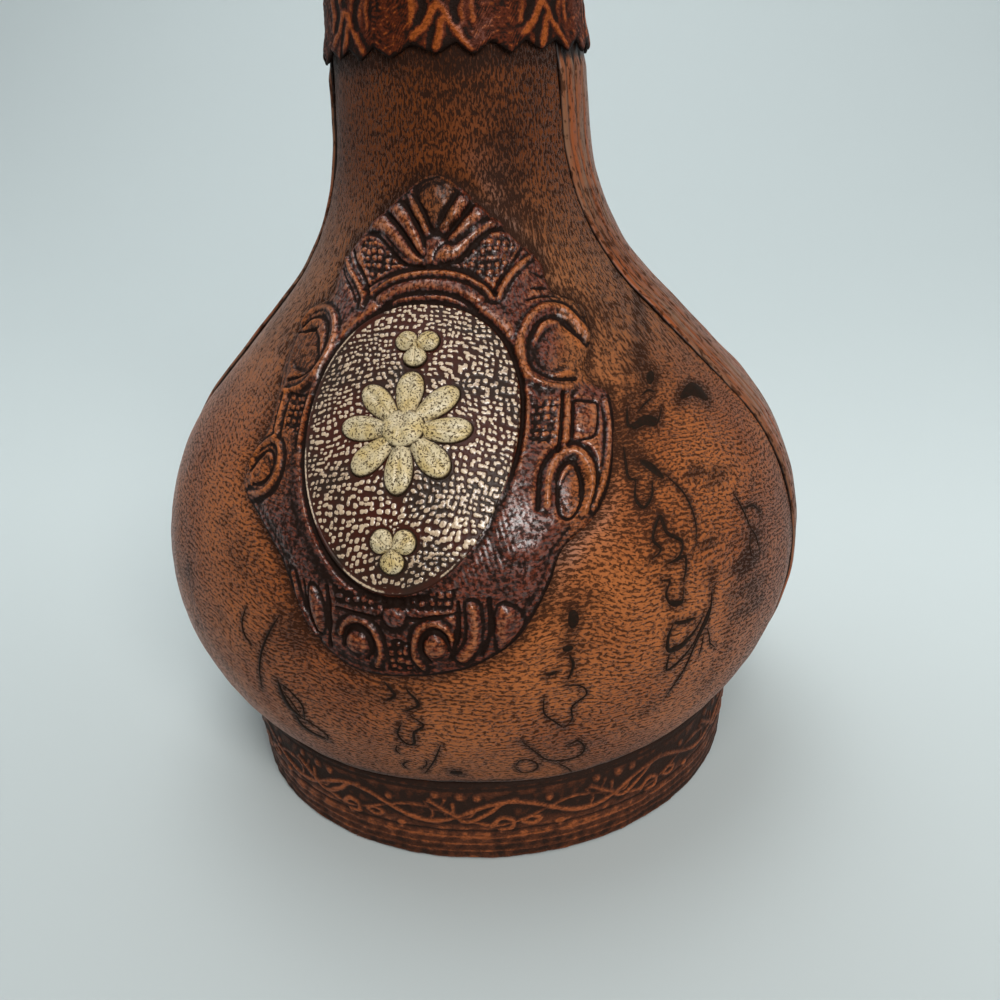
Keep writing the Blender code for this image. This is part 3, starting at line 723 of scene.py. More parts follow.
def pale_finish(hues):
    """Cream painted leather with a fine dark stipple."""
    f = Finish("stippled cream leather", specular=LEATHER_GLOSS, polish=TRIM_POLISH)
    place = f.place()
    pits = f.noise(place, 2.7, 2, 0.6, 0.3).ramp(0.48, 0.38)
    patch = f.noise(place, 0.3, 2)
    tone = f.tone("tone")
    paint = patch.ramp(0.35, 0.7).tint(hues.pale_top, hues.pale_warm)
    colour = (pits * 0.9).highest(tone.ramp(0.5, 0.2)).tint(paint, hues.speckle)
    f.feed(
        Base_Color=colour,
        Roughness=pits.mix(0.42, 0.6),
        Coat_Weight=(1 - pits) * 0.7,
        Normal=f.bump(1 - pits, 0.09 * MM),
    )
    return f.material


def strip_finish(hues):
    """Brown strip leather: long streaks along it, dark in its grooves and along its edges."""
    f = Finish("strip leather", specular=LEATHER_GLOSS, polish=COAT_POLISH, sheen=STRIP_SHEEN)
    u, v, _ = f.parts(f.lay())
    place = f.place()
    streaks = f.noise(f.vector(u, v * 0.34), 1.3, 3, 0.6)
    broad = f.noise(place, 0.05, 3, 0.6)
    drawn = f.noise(f.vector(u, v * 0.14), 0.42, 3, 0.6)
    tone = f.tone("tone")
    dark = 1 - (streaks + (0.5 - broad) * 0.25).ramp(0.4, 0.5)
    ground = drawn.ramp(0.36, 0.62).tint(hues.strip_brown, tinted(hues.coat_red, 1.2))
    ground = (broad.ramp(0.45, 0.75) * 0.6).tint(ground, tinted(hues.coat_red, 0.6))
    colour = (dark * 0.75).tint(ground, hues.coat_dark)
    # The tone darkens the grooves and edges, and paints shade on the strip under the collar
    colour = tone.ramp(0.46, 0.2).tint(colour, tinted(hues.coat_dark, 0.5))
    f.feed(
        Base_Color=colour,
        Roughness=dark.mix(0.46, 0.6),
        Coat_Weight=(1 - dark) * 0.4,
        Normal=f.bump(1 - dark, 0.12 * MM),
    )
    return f.material


def burnt_finish(hues):
    """Lines burnt and inked into the leather."""
    f = Finish("burnt line", 0.6, LEATHER_GLOSS)
    fine = f.noise(f.place(), 1.6, 2)
    colour = fine.ramp(0.4, 0.75).tint(hues.ink, tinted(hues.coat_dark, 0.9))
    f.feed(Base_Color=colour, Normal=f.bump(fine, 0.05 * MM))
    return f.material


def wood_finish(hues):
    """Turned wood: rings of darker grain about the axis, drawn out along it."""
    f = Finish("turned wood", 0.45)
    x, y, z = f.parts(f.place())
    grain = f.noise(f.vector(x, y, z * 0.12), 0.9, 4, 0.6)
    pores = f.noise(f.vector(x, y, z * 0.2), 3.2, 2)
    colour = grain.ramp(0.35, 0.65).tint(hues.wood, tinted(hues.wood, 0.55))
    colour = pores.ramp(0.62, 0.72, 0, 0.6).tint(colour, tinted(hues.wood, 0.25))
    f.feed(Base_Color=colour, Normal=f.bump(grain, 0.05 * MM))
    return f.material


def cork_finish(hues):
    """Natural cork: warm grains with dark pores."""
    f = Finish("cork", 0.85)
    place = f.place()
    grain = f.noise(place, 0.5, 4, 0.65)
    pores = f.noise(place, 0.75, 3, 0.7, 1.2).ramp(0.62, 0.7)
    colour = grain.ramp(0.3, 0.7).tint(tinted(hues.cork, 0.75), hues.cork)
    colour = pores.tint(colour, tinted(hues.cork, 0.22))
    f.feed(Base_Color=colour, Normal=f.bump(grain - pores, 0.25 * MM))
    return f.material


def flecked_finish(name, roughness, scale, coarse, stops, low, high, depth):
    """Dull pressed board or matted sole leather: flecks from a darker to a lighter colour."""
    f = Finish(name, roughness)
    flecks = f.noise(f.place(), scale, 4, coarse)
    f.feed(Base_Color=flecks.ramp(*stops).tint(low, high), Normal=f.bump(flecks, depth))
    return f.material


def glass_finish(hues):
    """Clear bottle glass with a slight green tint and a few waves in it."""
    f = Finish("bottle glass", 0.03)
    f.fix(Transmission_Weight=1, IOR=1.5)
    waves = f.noise(f.place(), 0.12, 2)
    colour = waves.tint(hues.glass, tinted(hues.glass, 0.93))
    f.feed(Base_Color=colour, Normal=f.bump(waves, 0.05 * MM))
    return f.material


# The crest, in millimetres over the surface: x to the right, y up from the crest's foot
OVAL_MIDDLE = (0.3, 44.5)
OVAL_HALF_W = 19.8
OVAL_HALF_H = 27.6
OVAL_EGG = 0.06
CREST_MIDDLE = (0.5, 45)
CREST_EDGE = (
    (1.5, 98), (6, 95), (10, 91.2), (14, 88), (16, 85.5), (19.5, 82.6), (22.2, 79.5), (23.2, 76.5),
    (25, 73.6), (29.5, 71.2), (33.2, 66.2), (33.6, 61.5), (32.2, 57), (34.5, 53.2), (38.2, 50), (39.2, 40),
    (38, 33), (35, 28), (29.5, 23.6), (27, 17), (22, 9), (16, 4.8), (10, 2.6), (0, 1.2), (-8, 1.8),
    (-13, 4.6), (-17, 9), (-20.5, 15), (-24, 21.5), (-29, 26.5), (-35.2, 31.5), (-34.5, 38), (-31.8, 44),
    (-31.8, 52), (-32.6, 57.5), (-31.6, 64), (-28.5, 70.2), (-23, 73.4), (-21.6, 79), (-19, 83.2),
    (-14, 88.2), (-8, 93.2), (-3, 96.8),
)
# Rolls and, with a height below 0, grooves: half width, height, then the points of their line
CREST_LINES = (
    (1.1, 0.9, (-3.9, 94.4), (-2.8, 91.5), (-1.2, 88.6), (-0.6, 87)),
    (1.6, 1.1, (6.9, 94), (5.2, 91.4), (2.8, 87.8)),
    (0.6, -0.8, (-5, 95), (-2.4, 92.8), (-0.9, 90), (0.2, 87)),
    (0.5, -0.7, (4.9, 94.8), (3.4, 91.4), (1.6, 87.6)),
    (0.9, -1, (8.4, 93.2), (6.8, 90.6), (4.4, 87.4), (3, 85.8)),
    (0.5, -0.6, (-5.4, 92.8), (-3.4, 90.2), (-1.8, 86.6), (-0.9, 83.8)),
    (0.5, -0.7, (-9.6, 90.8), (-6.9, 88.8), (-4.5, 86.1), (-1.8, 82.4)),
    (1, -1, (-14.8, 86.6), (-11, 86.1), (-8, 83.7), (-4.8, 80.8), (-1, 79.7)),
    (1, -1, (15.8, 86.6), (11.8, 86.8), (8.6, 84.2), (6, 81.3), (3, 80.4)),
    (0.9, -0.9, (-12.6, 74.8), (-9.6, 76.9), (-5.6, 79), (0.2, 79.9), (6, 79.2), (10.4, 76.6), (13, 73.6)),
    (0.8, 0.8, (-10.4, 73.8), (-7, 76.6), (-3.2, 78), (0.3, 78.5), (4, 78.2), (7.6, 77), (10.6, 74.8),
     (12.6, 72.4)),
    (1, -1, (-8.6, 70.6), (-5, 73.3), (0.3, 74.3), (5.6, 73.4), (10, 70.4)),
    (0.9, 0.9, (-20.2, 82), (-17.4, 79.2), (-14.6, 76.4), (-12.4, 73.4), (-12.2, 71)),
    (0.6, -0.7, (-21, 80), (-18.4, 77.4), (-15.8, 74.8), (-14, 72)),
    (0.9, -0.9, (-17.6, 83), (-15.2, 80), (-12.8, 77.2), (-11.3, 74)),
    (0.9, 0.9, (20.6, 81.9), (17.2, 79.2), (14.8, 76.2), (13.5, 72.6)),
    (0.8, -0.9, (18.2, 83.8), (16.2, 80.8), (14.2, 77.8), (12.5, 74.2)),
    (0.5, -0.6, (19.2, 78), (22.6, 76.4), (24.6, 74.8)),
    (0.7, -0.8, (19.8, 74.3), (24.2, 74.2), (28.8, 71.4)),
    (0.6, -0.7, (19, 71.8), (22.6, 72.6), (26.6, 72.2)),
    (1.3, 1, (33.4, 62.6), (30, 66.2), (26.9, 69.2), (23.6, 70.1), (20.8, 68.9), (19, 66), (18.4, 61.8),
     (18.9, 58.2), (21, 55.6), (24.4, 53.6), (29, 52.6)),
    (1.1, -1.1, (32.4, 61.2), (29.4, 64), (26.4, 66.8), (23.6, 67.8), (21.4, 66.2), (20.5, 62.2),
     (20.9, 58.6), (22.6, 56.6), (26, 55), (30, 54.6)),
    (1.2, 0.9, (-30, 66.2), (-26.8, 69.3), (-22.6, 70.4), (-19.2, 68.8), (-17.6, 65.4), (-17.8, 61.2),
     (-19.8, 56.8), (-23, 53), (-27.4, 51.4)),
    (1, -1, (-29, 65.2), (-25.4, 67.5), (-22.2, 68), (-20, 65.8), (-19.8, 61.6), (-21.6, 57.6), (-24.4, 55),
     (-28.2, 53.8)),
    (0.7, -0.9, (-22.8, 65.6), (-26.6, 64.6), (-30.2, 63.9)),
    (0.6, 0.7, (21, 41.6), (21.2, 46), (20.8, 51.6)),
    (0.6, -0.9, (27.4, 40.6), (27.6, 46), (27.4, 52)),
    (0.9, 0.8, (28.5, 41.2), (28.7, 46), (28.5, 51.2)),
    (0.6, -0.9, (29.9, 42.6), (29.9, 46.2), (29.9, 49.8), (32.4, 49.6), (34.6, 48.8), (34.9, 45.6),
     (34.4, 42.8), (32, 42.3), (29.9, 42.6)),
    (1, 0.9, (-27.4, 41.8), (-27.8, 46), (-27.4, 51.4)),
    (0.6, -0.8, (-29.4, 42.6), (-29.8, 46.4), (-29.4, 51.6)),
    (0.6, -0.7, (-26.2, 42), (-26.4, 46), (-26, 51.4)),
    (0.6, 0.6, (-20.6, 41), (-20.8, 46), (-20.4, 51)),
    (1, 0.9, (36.6, 49), (37.6, 43.4), (37, 36), (34.8, 30)),
    (1.2, 1, (25.9, 31.6), (26, 36.6), (27.7, 39.7), (30.6, 40.3), (33, 37.8), (34.2, 33.4), (33.2, 29.6)),
    (0.7, -0.9, (27.7, 31.6), (27.8, 36.2), (29.1, 38.3), (30.9, 37.7), (32.3, 34.2), (32, 30.8),
     (30.4, 28.7), (28.4, 29.4), (27.7, 31.6)),
    (0.9, -0.8, (24.2, 31), (24.4, 37.6), (26.9, 41.3), (31, 41.9), (34.4, 38.8), (35.6, 34)),
    (1.1, 0.9, (-34, 36), (-31.6, 39.7), (-28.4, 41.5), (-25.7, 40.6), (-24.7, 37.4), (-25.8, 33.8),
     (-28.6, 31.4), (-32.4, 30.6)),
    (0.8, -0.9, (-32.8, 35), (-30.8, 38), (-28.4, 39.4), (-26.9, 38.2), (-27, 35.4), (-28.8, 33.2),
     (-31.6, 32.6)),
    (1, 0.9, (-19.8, 18.8), (-18.8, 15.2), (-17.6, 11.6), (-15.6, 8.2)),
    (0.9, -1, (-12, 17.8), (-11.9, 12), (-12.6, 6.6)),
    (0.6, -0.9, (-17, 18.2), (-16.7, 13.6), (-15, 8.8)),
    (0.8, -0.7, (-21.6, 17.4), (-20.4, 12.4), (-17.6, 7.6)),
    (0.9, -1, (11.3, 16.4), (11.3, 11), (9.8, 5.8)),
    (1, -0.9, (16.6, 16.6), (16.8, 11), (15.2, 6.2)),
    (0.9, 0.9, (-9.8, 9.8), (-8.8, 11.8), (-6.4, 12.8), (-4, 11.8), (-2.7, 9.4), (-2.5, 6.6), (-3.5, 4)),
    (0.9, 0.9, (10.2, 9.8), (9.2, 11.8), (7, 12.8), (4.8, 11.8), (3.7, 9.4), (3.7, 6.6), (4.9, 4)),
    (0.8, -0.9, (-9.4, 7.6), (-8.6, 10.4), (-6.4, 11.3), (-4.5, 10), (-4, 7.4), (-5, 5.4)),
    (0.8, -0.9, (9.8, 7.6), (9, 10.4), (7, 11.3), (5.2, 10), (5, 7.4), (6.2, 5.4)),
    (0.7, -0.8, (-10.4, 14.4), (-4, 13.4), (-2, 13.6)),
    (0.7, -0.8, (2.8, 13.6), (5, 13.4), (10.8, 14.4)),
)
# Leaves and plates: height, width of their rounding, then the corners of their outline
CREST_LEAVES = (
    (0.15, 1.2, (0.4, 88), (-1.7, 91.4), (-3.2, 94.4), (-0.8, 96.4), (1.7, 97), (3.8, 96.2), (4.6, 94.4),
     (2.7, 91), (1.2, 88)),
    (0.6, 1.6, (-9, 91.6), (-6.8, 92.6), (-4.8, 91.2), (-2.9, 88.8), (-1.4, 85.6), (-0.8, 82.4),
     (-2.4, 83.6), (-4.7, 87), (-6.9, 89.6)),
    (0.7, 1.8, (-15.4, 88), (-12.8, 90.2), (-9.8, 90.2), (-7.2, 88.2), (-4.8, 85.4), (-2.6, 82.4),
     (-0.8, 80.8), (-3.4, 81.6), (-6.2, 83.9), (-9.4, 86.8), (-12.4, 87.4)),
    (0.8, 1.6, (8.8, 92.4), (11.6, 91), (10, 88.6), (6.8, 86.2), (4.4, 84.6), (3.6, 85.6), (5.2, 88),
     (7.2, 90.6)),
    (0.7, 1.7, (15.4, 87.8), (12.6, 89.4), (9.6, 88.4), (6.6, 86), (4.6, 84.4), (2.8, 83.8), (1.6, 81.6),
     (4.2, 81), (6.4, 82.8), (8.4, 85.4), (11.4, 87.4)),
    (0.3, 1, (-9.2, 73.6), (-5.6, 76.2), (0.3, 77.5), (6, 76.7), (11.2, 73.2), (9.6, 71.8), (5.4, 74.4),
     (0.3, 75.2), (-5, 74.4), (-8, 72)),
    (0.8, 1.2, (-15.6, 17.2), (-14.2, 17), (-13, 14), (-13.2, 10.2), (-14.6, 9), (-15.9, 12.8)),
    (0.8, 1.3, (12.8, 16.2), (14.8, 15.6), (15.3, 11.4), (14.4, 7.4), (12.2, 5), (10.9, 6.2), (12.6, 9.4),
     (12.9, 12.6)),
    (0.6, 1.6, (18.2, 15.2), (21.2, 14.4), (22.6, 11.8), (20.4, 8.6), (18.4, 7), (17.8, 10)),
)
# Flat pebbled areas, as corners
CREST_PEBBLED = (
    ((-15.6, 84.4), (-13.4, 86), (-10.6, 85.2), (-7.4, 82.9), (-3, 80.2), (-6.4, 79.3), (-9.4, 77.8),
     (-11.4, 76.2), (-13, 79.2)),
    ((10.6, 85.8), (14.6, 86), (16.8, 83.6), (15.2, 79.8), (13.2, 75.6), (10.6, 76.8), (7.6, 78.8),
     (4.6, 80), (7.4, 83)),
    ((21.8, 42.4), (26.8, 42.2), (26.8, 50.8), (21.8, 50.8)),
    ((-25.8, 43.8), (-21.2, 43.6), (-21.2, 51.4), (-25.8, 51.6)),
    ((-10.4, 14.8), (10.6, 14.8), (11.4, 19), (0.3, 16.4), (-11.2, 18.6)),
    ((-1.6, 3), (3.4, 3), (2.8, 9), (0.4, 10.2), (-1.2, 9)),
)
# Plain hollows inside the scrolls: middle, half sizes and lean in degrees
CREST_HOLLOWS = (
    (26, 61.2, 4.9, 5.4, -18), (-25.2, 60.8, 4.3, 5.2, 16), (30, 33.4, 2.2, 4.2, -12),
    (-29.6, 35.8, 2.4, 2.8, -30),
)
# Small domes: middle, radius and height
CREST_DOMES = (
    (0.5, 13.8, 2.1, 1.4), (-6.7, 8.4, 2.1, 1.1), (7.3, 8.4, 2.1, 1.1), (1.7, 83.2, 2.8, 0.6),
    (32.4, 46.2, 2.6, 0.6), (23, 28.6, 6.5, 0.7), (22.6, 21, 5, 0.4), (-24, 26.6, 5.4, 0.5),
)
CREST_LIFT = 1.25
LINE_SHARE = 0.62
FRAME_SINK = 0.35


def oval_point(angle, grow):
    """Point of the egg-shaped oval, wider above, at an angle from its foot and grown by some millimetres."""
    x = (OVAL_HALF_W * (1 - OVAL_EGG * np.cos(angle)) + grow) * np.sin(angle)
    return OVAL_MIDDLE[0] + x, OVAL_MIDDLE[1] - (OVAL_HALF_H + grow) * np.cos(angle)


def oval_share(x, y):
    """0 at the oval's middle and 1 on its line."""
    up = (y - OVAL_MIDDLE[1]) / OVAL_HALF_H
    half_w = OVAL_HALF_W * (1 + OVAL_EGG * np.clip(up, -1.2, 1.2))
    return np.hypot((x - OVAL_MIDDLE[0]) / half_w, up)


CREST_CURVE = through(CREST_EDGE, 6, True)
CREST_LOOP = np.concatenate((CREST_CURVE, CREST_CURVE[:1]))


def crest_reach(bearing):
    """Distance from the crest's middle to its edge at a bearing, which runs from its foot to the right."""
    x, y = (CREST_CURVE - np.array(CREST_MIDDLE)).T
    angles = np.arctan2(x, -y)
    order = np.argsort(angles)
    return np.interp(bearing, angles[order], np.hypot(x, y)[order], period=TURN)


def low_right(x, y):
    """1 at the oval's lower right, where its edge is pressed flush with the frame, and 0 away from there."""
    return smooth(2, 9, x) * smooth(42, 32, y)


def crest_height(x, y):
    """Height of the crest over the leather in millimetres: a low cushion with rolls, grooves and pebbles."""
    edge = off_path(x, y, CREST_LOOP)[0]
    share = oval_share(x, y)
    beyond = (share - 1) * OVAL_HALF_W
    height = 0.1 + CREST_LIFT * smooth(0, 5, edge) + 0.8 * smooth(10, 0, beyond)
    height += 0.16 * ridge(edge - 1.3, 0.8)
    height += 0.22 * ridge(beyond - 2, 1.1) * smooth(48, 62, y)
    height -= (0.85 - 0.75 * low_right(x, y)) * ridge(beyond - 0.3, 0.9)
    hatch = ridge((0.94 * x + 0.34 * y) % 0.9 - 0.45, 0.4)
    height += 0.06 * hatch * low_right(x, y) * smooth(8, 4, beyond) * smooth(0, 1, beyond)
    for hx, hy, half_w, half_h, lean in CREST_HOLLOWS:
        a = radians(lean)
        dx = (x - hx) * cos(a) + (y - hy) * sin(a)
        dy = (y - hy) * cos(a) - (x - hx) * sin(a)
        reach = np.hypot(dx / half_w, dy / half_h)
        inside = smooth(1.12, 0.86, reach)
        height = height * (1 - inside) + inside * (0.85 + 0.35 * (1 - reach))
    for corners in CREST_PEBBLED:
        inside = smooth(-0.2, 0.5, within(x, y, corners))
        stones = height - 0.42 + 0.42 * pebbles(x, y, 1.5, 1.55, 5, 0.4, 0.26)
        height = height * (1 - inside) + inside * stones
    for cx, cy, radius, lift in CREST_DOMES:
        height += 0.8 * lift * held(1 - ((x - cx) ** 2 + (y - cy) ** 2) / radius ** 2) ** 0.7
    for lift, soft, *corners in CREST_LEAVES:
        outline = through(corners, 4, True)
        near = beside(x, y, outline, 1.5)
        inside = within(x[near], y[near], outline.tolist())
        height[near] += lift * np.sqrt(smooth(-0.1, soft, inside)) - 0.22 * ridge(inside + 0.4, 0.5)
    for number, (half_w, lift, *points) in enumerate(CREST_LINES):
        path = through(points, 5)
        near = (np.abs(x - path[:, 0].mean()) < 16) & (np.abs(y - path[:, 1].mean()) < 17)
        distance, share = off_path(x[near], y[near], path)
        swell = 0.72 + 0.28 * np.sin(np.pi * held(share * 1.1))
        swell *= 1 + 0.16 * np.sin(share * 17 + 2.3 * number)
        roll = ridge(distance, half_w * swell)
        moat = 0.25 * ridge(distance - half_w * 1.15, half_w * 0.7) if lift > 0 else 0
        height[near] += LINE_SHARE * (lift * roll - moat)
    return np.maximum(height, -0.2)


# Dark stains, in the crest's millimetres: middle, half sizes and depth; the wide band at (6, 112) is painted
# shade under the collar
STAINS = (
    (46.5, 56, 3.4, 9, 0.75), (49.5, 66, 3, 8, 0.7), (44, 74, 3, 9, 0.45), (62.6, 45, 4.4, 2.6, 0.8),
    (58.5, 31, 3.2, 2.2, 0.75), (65.5, 28, 5, 2.6, 0.7), (61, 17.6, 2.6, 1.8, 0.7), (62, 11, 2, 3, 0.7),
    (73.5, 10, 6.5, 6.5, 0.85), (76, 1, 7.5, 6, 0.6), (69, 3.5, 4, 3, 0.4), (14.5, 101, 5, 13, 0.5),
    (6, 112, 9, 4, 0.3), (20.5, 112, 3, 7, 0.35), (31.3, 6, 3.6, 8, 0.3), (31, 13, 6, 5, 0.3),
    (-28, 47, 8, 5, 0.3), (-34, 18, 5, 5, 0.35), (-46, 62, 5, 7, 0.3), (42.5, 46, 2.4, 10, 0.5),
    (52, -3, 5, 6, 0.25), (-20, 8, 6, 5, 0.35), (0, -3, 16, 3, 0.25), (27, 20, 8, 8, 0.3),
)


def stained(x, y, points):
    """Dark stains with ragged edges: each fades evenly from its middle to an oval line."""
    shade = np.zeros(np.shape(x))
    ragged = 0.28 * wander(points, 3.2 * MM, 9)
    for cx, cy, half_w, half_h, depth in STAINS:
        share = np.hypot((x - cx) / half_w, (y - cy) / half_h)
        shade = np.maximum(shade, depth * smooth(1.25, 0.25, share + ragged))
    for width, *line in VINES:
        path = through(line, 4)
        near = beside(x, y, path, 3)
        distance = off_path(x[near], y[near], path)[0]
        shade[near] = np.maximum(shade[near], 0.75 * smooth(0.7 + width, 0.3 * width, distance))
    return shade


def unevenness(points):
    """Slow rise and fall of the glued leather, in millimetres."""
    return 0.16 * wander(points, 26 * MM, 3) + 0.05 * wander(points, 6 * MM, 4)


def coat_relief(x, y, points):
    """Height of the coat's front in millimetres, sunk under the crest, and the painted shade beside the
    crest.
    """
    near = (np.abs(x) < 48) & (y > -10) & (y < 108)
    dip, shade = np.zeros((2, *np.shape(x)))
    edge = within(x[near], y[near], CREST_CURVE.tolist())
    dip[near] = smooth(-3.2, -0.3, edge)
    # Painted shade on the coat along the raised crest's edge
    shade[near] = smooth(-2.6, 0.1, edge + 0.5 * wander(points[near], 5 * MM, 6))
    return unevenness(points) - FRAME_SINK * dip, shade


def coat_side(turn, along, front):
    """Outer side of a coat panel, with stains and with painted shade beside the crest, under the collar and
    at the foot.
    """
    points = wall(turn, along, 0)
    radius, height, _ = side(along)
    x, y = turn * radius / MM, (along - CREST_LOW) / MM
    if front:
        relief, shade = coat_relief(x, y, points)
        # The painted shade beside the crest joined with the stains
        shade = np.maximum(0.7 * shade, stained(x, y, points))
    else:
        relief, shade = unevenness(points), 0
    ragged = 1.6 * MM * wander(points, 7 * MM, 8)
    # Painted shadow on the coat under the collar's edge
    shade = np.maximum(shade, 0.8 * smooth(-4.8 * MM, -0.5 * MM, height - COLLAR_BOX[0].z + 0.6 * ragged))
    # Painted shade on the coat just above the foot band
    shade = np.maximum(shade, 0.7 * smooth(3.4 * MM, 0.4 * MM, height - BAND_TOP_Z + 0.5 * ragged))
    return {"co": wall(turn, along, relief * MM), "uv": lay_flat(turn, along), "shade": shade}


LAY_R = 55 * MM


def lay_flat(turn, along):
    """Flat coordinates of the coat: the turn times a mean radius, and the length along the side."""
    return pair(turn * LAY_R, along)


def lay_at(x, y):
    """The coat's flat coordinates at a place of the crest."""
    return lay_flat(*crest_place(x, y))


def spread(low, high, count):
    """Evenly spaced values for an outer grid, and those of them that the inner one has."""
    values = np.linspace(low, high, count * FINE + 1)
    return values, values[::FINE]


def two_sided(name, outside, inside, u, v, wrap=False):
    """Closed sheet from a function for its outer side and one for its inner side, over ranges of u and v."""
    fine_u, coarse_u = spread(*u)
    fine_v, coarse_v = spread(*v)
    outer = outside(*np.meshgrid(fine_u, fine_v, indexing="ij"))
    inner = inside(*np.meshgrid(coarse_u, coarse_v, indexing="ij"))
    return sheet_mesh(name, outer, inner, wrap)


class DECANTER_OT_coat(bpy.types.Operator):
    """The two leather panels glued round the glass, front and back"""

    bl_idname = "decanter.coat"
    bl_label = "Leather coat"

    def execute(self, context):
        material = coat_finish(context.scene.decanter_hues)
        half = 0.5 * pi - GAP / BELLY_R
        for name, middle in (("front", 0), ("back", pi)):
            mesh = two_sided(
                "coat_" + name,
                lambda turn, along: coat_side(turn, along, middle == 0),
                lambda turn, along: {"co": wall(turn, along, -COAT_T), "uv": lay_flat(turn, along)},
                (middle - half, middle + half, 72), (GAP, COAT_END, 64),
            )
            add_piece(mesh, material, "bottle", "body_leather", "leather_" + name)
        return {"FINISHED"}


STRIP_T = 0.8 * MM
STRIP_HALF_W = STRIP_BOX[1].y
LEFT_STRIP_HALF_W = 10.6 * MM
STRIP_GROOVES = (4.4 * MM, 8 * MM, 11.2 * MM)


def strip_place(across, along, middle, out):
    """Point on a seam strip: across it from its middle turn, along the side, and out metres off the coat."""
    return wall(middle + across / side(along)[0], along, out)


def strip_side(across, along, middle, half_w):
    """Outer side of a seam strip: flat over the seam, round at its edges, with tooled grooves along it.

    It thins out under the collar, where painted shade darkens it.
    """
    points = strip_place(across, along, middle, GAP)
    wave = 0.25 * MM * wander(points, 30 * MM, 11)
    off = np.abs(across + wave)
    rim = half_w - np.abs(across)
    under_collar = smooth(-3 * MM, 0.5 * MM, side(along)[1] - COLLAR_BOX[0].z)
    height = STRIP_T * (1 - 0.55 * under_collar) * np.sqrt(smooth(-0.2 * MM, 0.9 * MM, rim))
    tone = np.full(np.shape(across), 0.62)
    for groove in STRIP_GROOVES:
        cut = ridge(off - groove, 0.7 * MM)
        height -= 0.26 * MM * cut
        tone -= 0.36 * cut
    height += 0.07 * MM * wander(points, 9 * MM, 12)
    tone -= 0.42 * smooth(0.4 * MM, 0.1 * MM, rim)
    # Painted shade on the strip under the collar
    tone -= 0.4 * under_collar
    return {
        "co": strip_place(across, along, middle, GAP * 0.3 + height),
        "uv": pair(across, along),
        "tone": tone,
    }


class DECANTER_OT_strips(bpy.types.Operator):
    """The two strips over the side seams, which run up under the collar"""

    bl_idname = "decanter.strips"
    bl_label = "Seam strips"

    def execute(self, context):
        material = strip_finish(context.scene.decanter_hues)
        top = float(along_at(COLLAR_BOX[0].z + 3 * MM))
        for name, hand, half_w in (("left", -1, LEFT_STRIP_HALF_W), ("right", 1, STRIP_HALF_W)):
            middle = hand * 0.5 * pi
            mesh = two_sided(
                "seam_strip_" + name,
                lambda across, along: strip_side(across, along, middle, half_w),
                lambda across, along: {
                    "co": strip_place(across, along, middle, -0.2 * GAP),
                    "uv": pair(across, along),
                },
                (-half_w, half_w, 16), (GAP, top, 90),
            )
            add_piece(mesh, material, "bottle", "strip_leather", "side_strip_" + name)
        return {"FINISHED"}


def frame_place(bearing, across):
    """Surface x and y of a point between the oval, at across 0, and the crest's edge, at across 1."""
    reach = crest_reach(bearing)
    edge_x = CREST_MIDDLE[0] + reach * np.sin(bearing)
    edge_y = CREST_MIDDLE[1] - reach * np.cos(bearing)
    oval_x, oval_y = oval_point(bearing, -1.2)
    return oval_x + (edge_x - oval_x) * across, oval_y + (edge_y - oval_y) * across


def frame_side(bearing, across):
    """Top of the crest's frame: its relief, which rolls down into the coat at the crest's edge."""
    x, y = frame_place(bearing, np.minimum(across, 1))
    height = crest_height(x, y)
    tone = rubbed(height, 16, 0.19, True)
    fall = smooth(0.955, 1, across)
    height = height * np.sqrt(held(1 - fall ** 2)) - FRAME_SINK * 1.2 * fall
    edge = off_path(x, y, CREST_LOOP)[0]
    tone = tone + (0.42 - tone) * smooth(2.2, 0.4, edge) * smooth(0.5, 0.8, tone)
    tanned = 0.6 * smooth(-14, -25, x) * smooth(24, 36, y)
    tanned = np.maximum(tanned, 0.8 * smooth(21, 30, x) * smooth(50, 56, y))
    tanned = np.maximum(tanned, 0.5 * smooth(26, 32, x) * smooth(44, 34, y))
    # Painted shade and darker leather: the crest's left side is darkened as shade, and the leather is darker
    # at its foot, across its top middle, on its top leaf and round the shield
    shade_and_dark_leather = 0.08 * smooth(26, 14, y) + 0.14 * smooth(74, 82, y) * smooth(14, 8, np.abs(x - 1))
    top_leaf = smooth(86, 90, y) * smooth(5, 3, np.abs(x - 0.8))
    shade_and_dark_leather += 0.16 * top_leaf
    # Painted shade on the crest's left side, and darker leather low down where it is not tanned
    shade_and_dark_leather += 0.1 * smooth(-16, -22, x) + 0.12 * (1 - tanned) * smooth(40, 24, y)
    beyond = (oval_share(x, y) - 1) * OVAL_HALF_W
    shade_and_dark_leather += 0.22 * ridge(beyond - 2.2, 2.6) * smooth(62, 50, y) * (1 - low_right(x, y))
    shade_and_dark_leather += 0.22 * ridge(beyond - 2.4, 2.4) * smooth(66, 71, y)
    tone = np.maximum(tone - shade_and_dark_leather, 0.62 * ridge(edge - 0.45, 0.5) * smooth(56, 76, y))
    red = (1 - tanned) * (1 - 0.7 * top_leaf)
    return {"co": on_front(x, y, height), "uv": lay_at(x, y), "tone": held(tone), "red": red}


def frame_back(bearing, across):
    """Underside of the frame, sunk a little into the coat's valley."""
    x, y = frame_place(bearing, across)
    return {"co": on_front(x, y, -FRAME_SINK * 1.3), "uv": lay_at(x, y)}


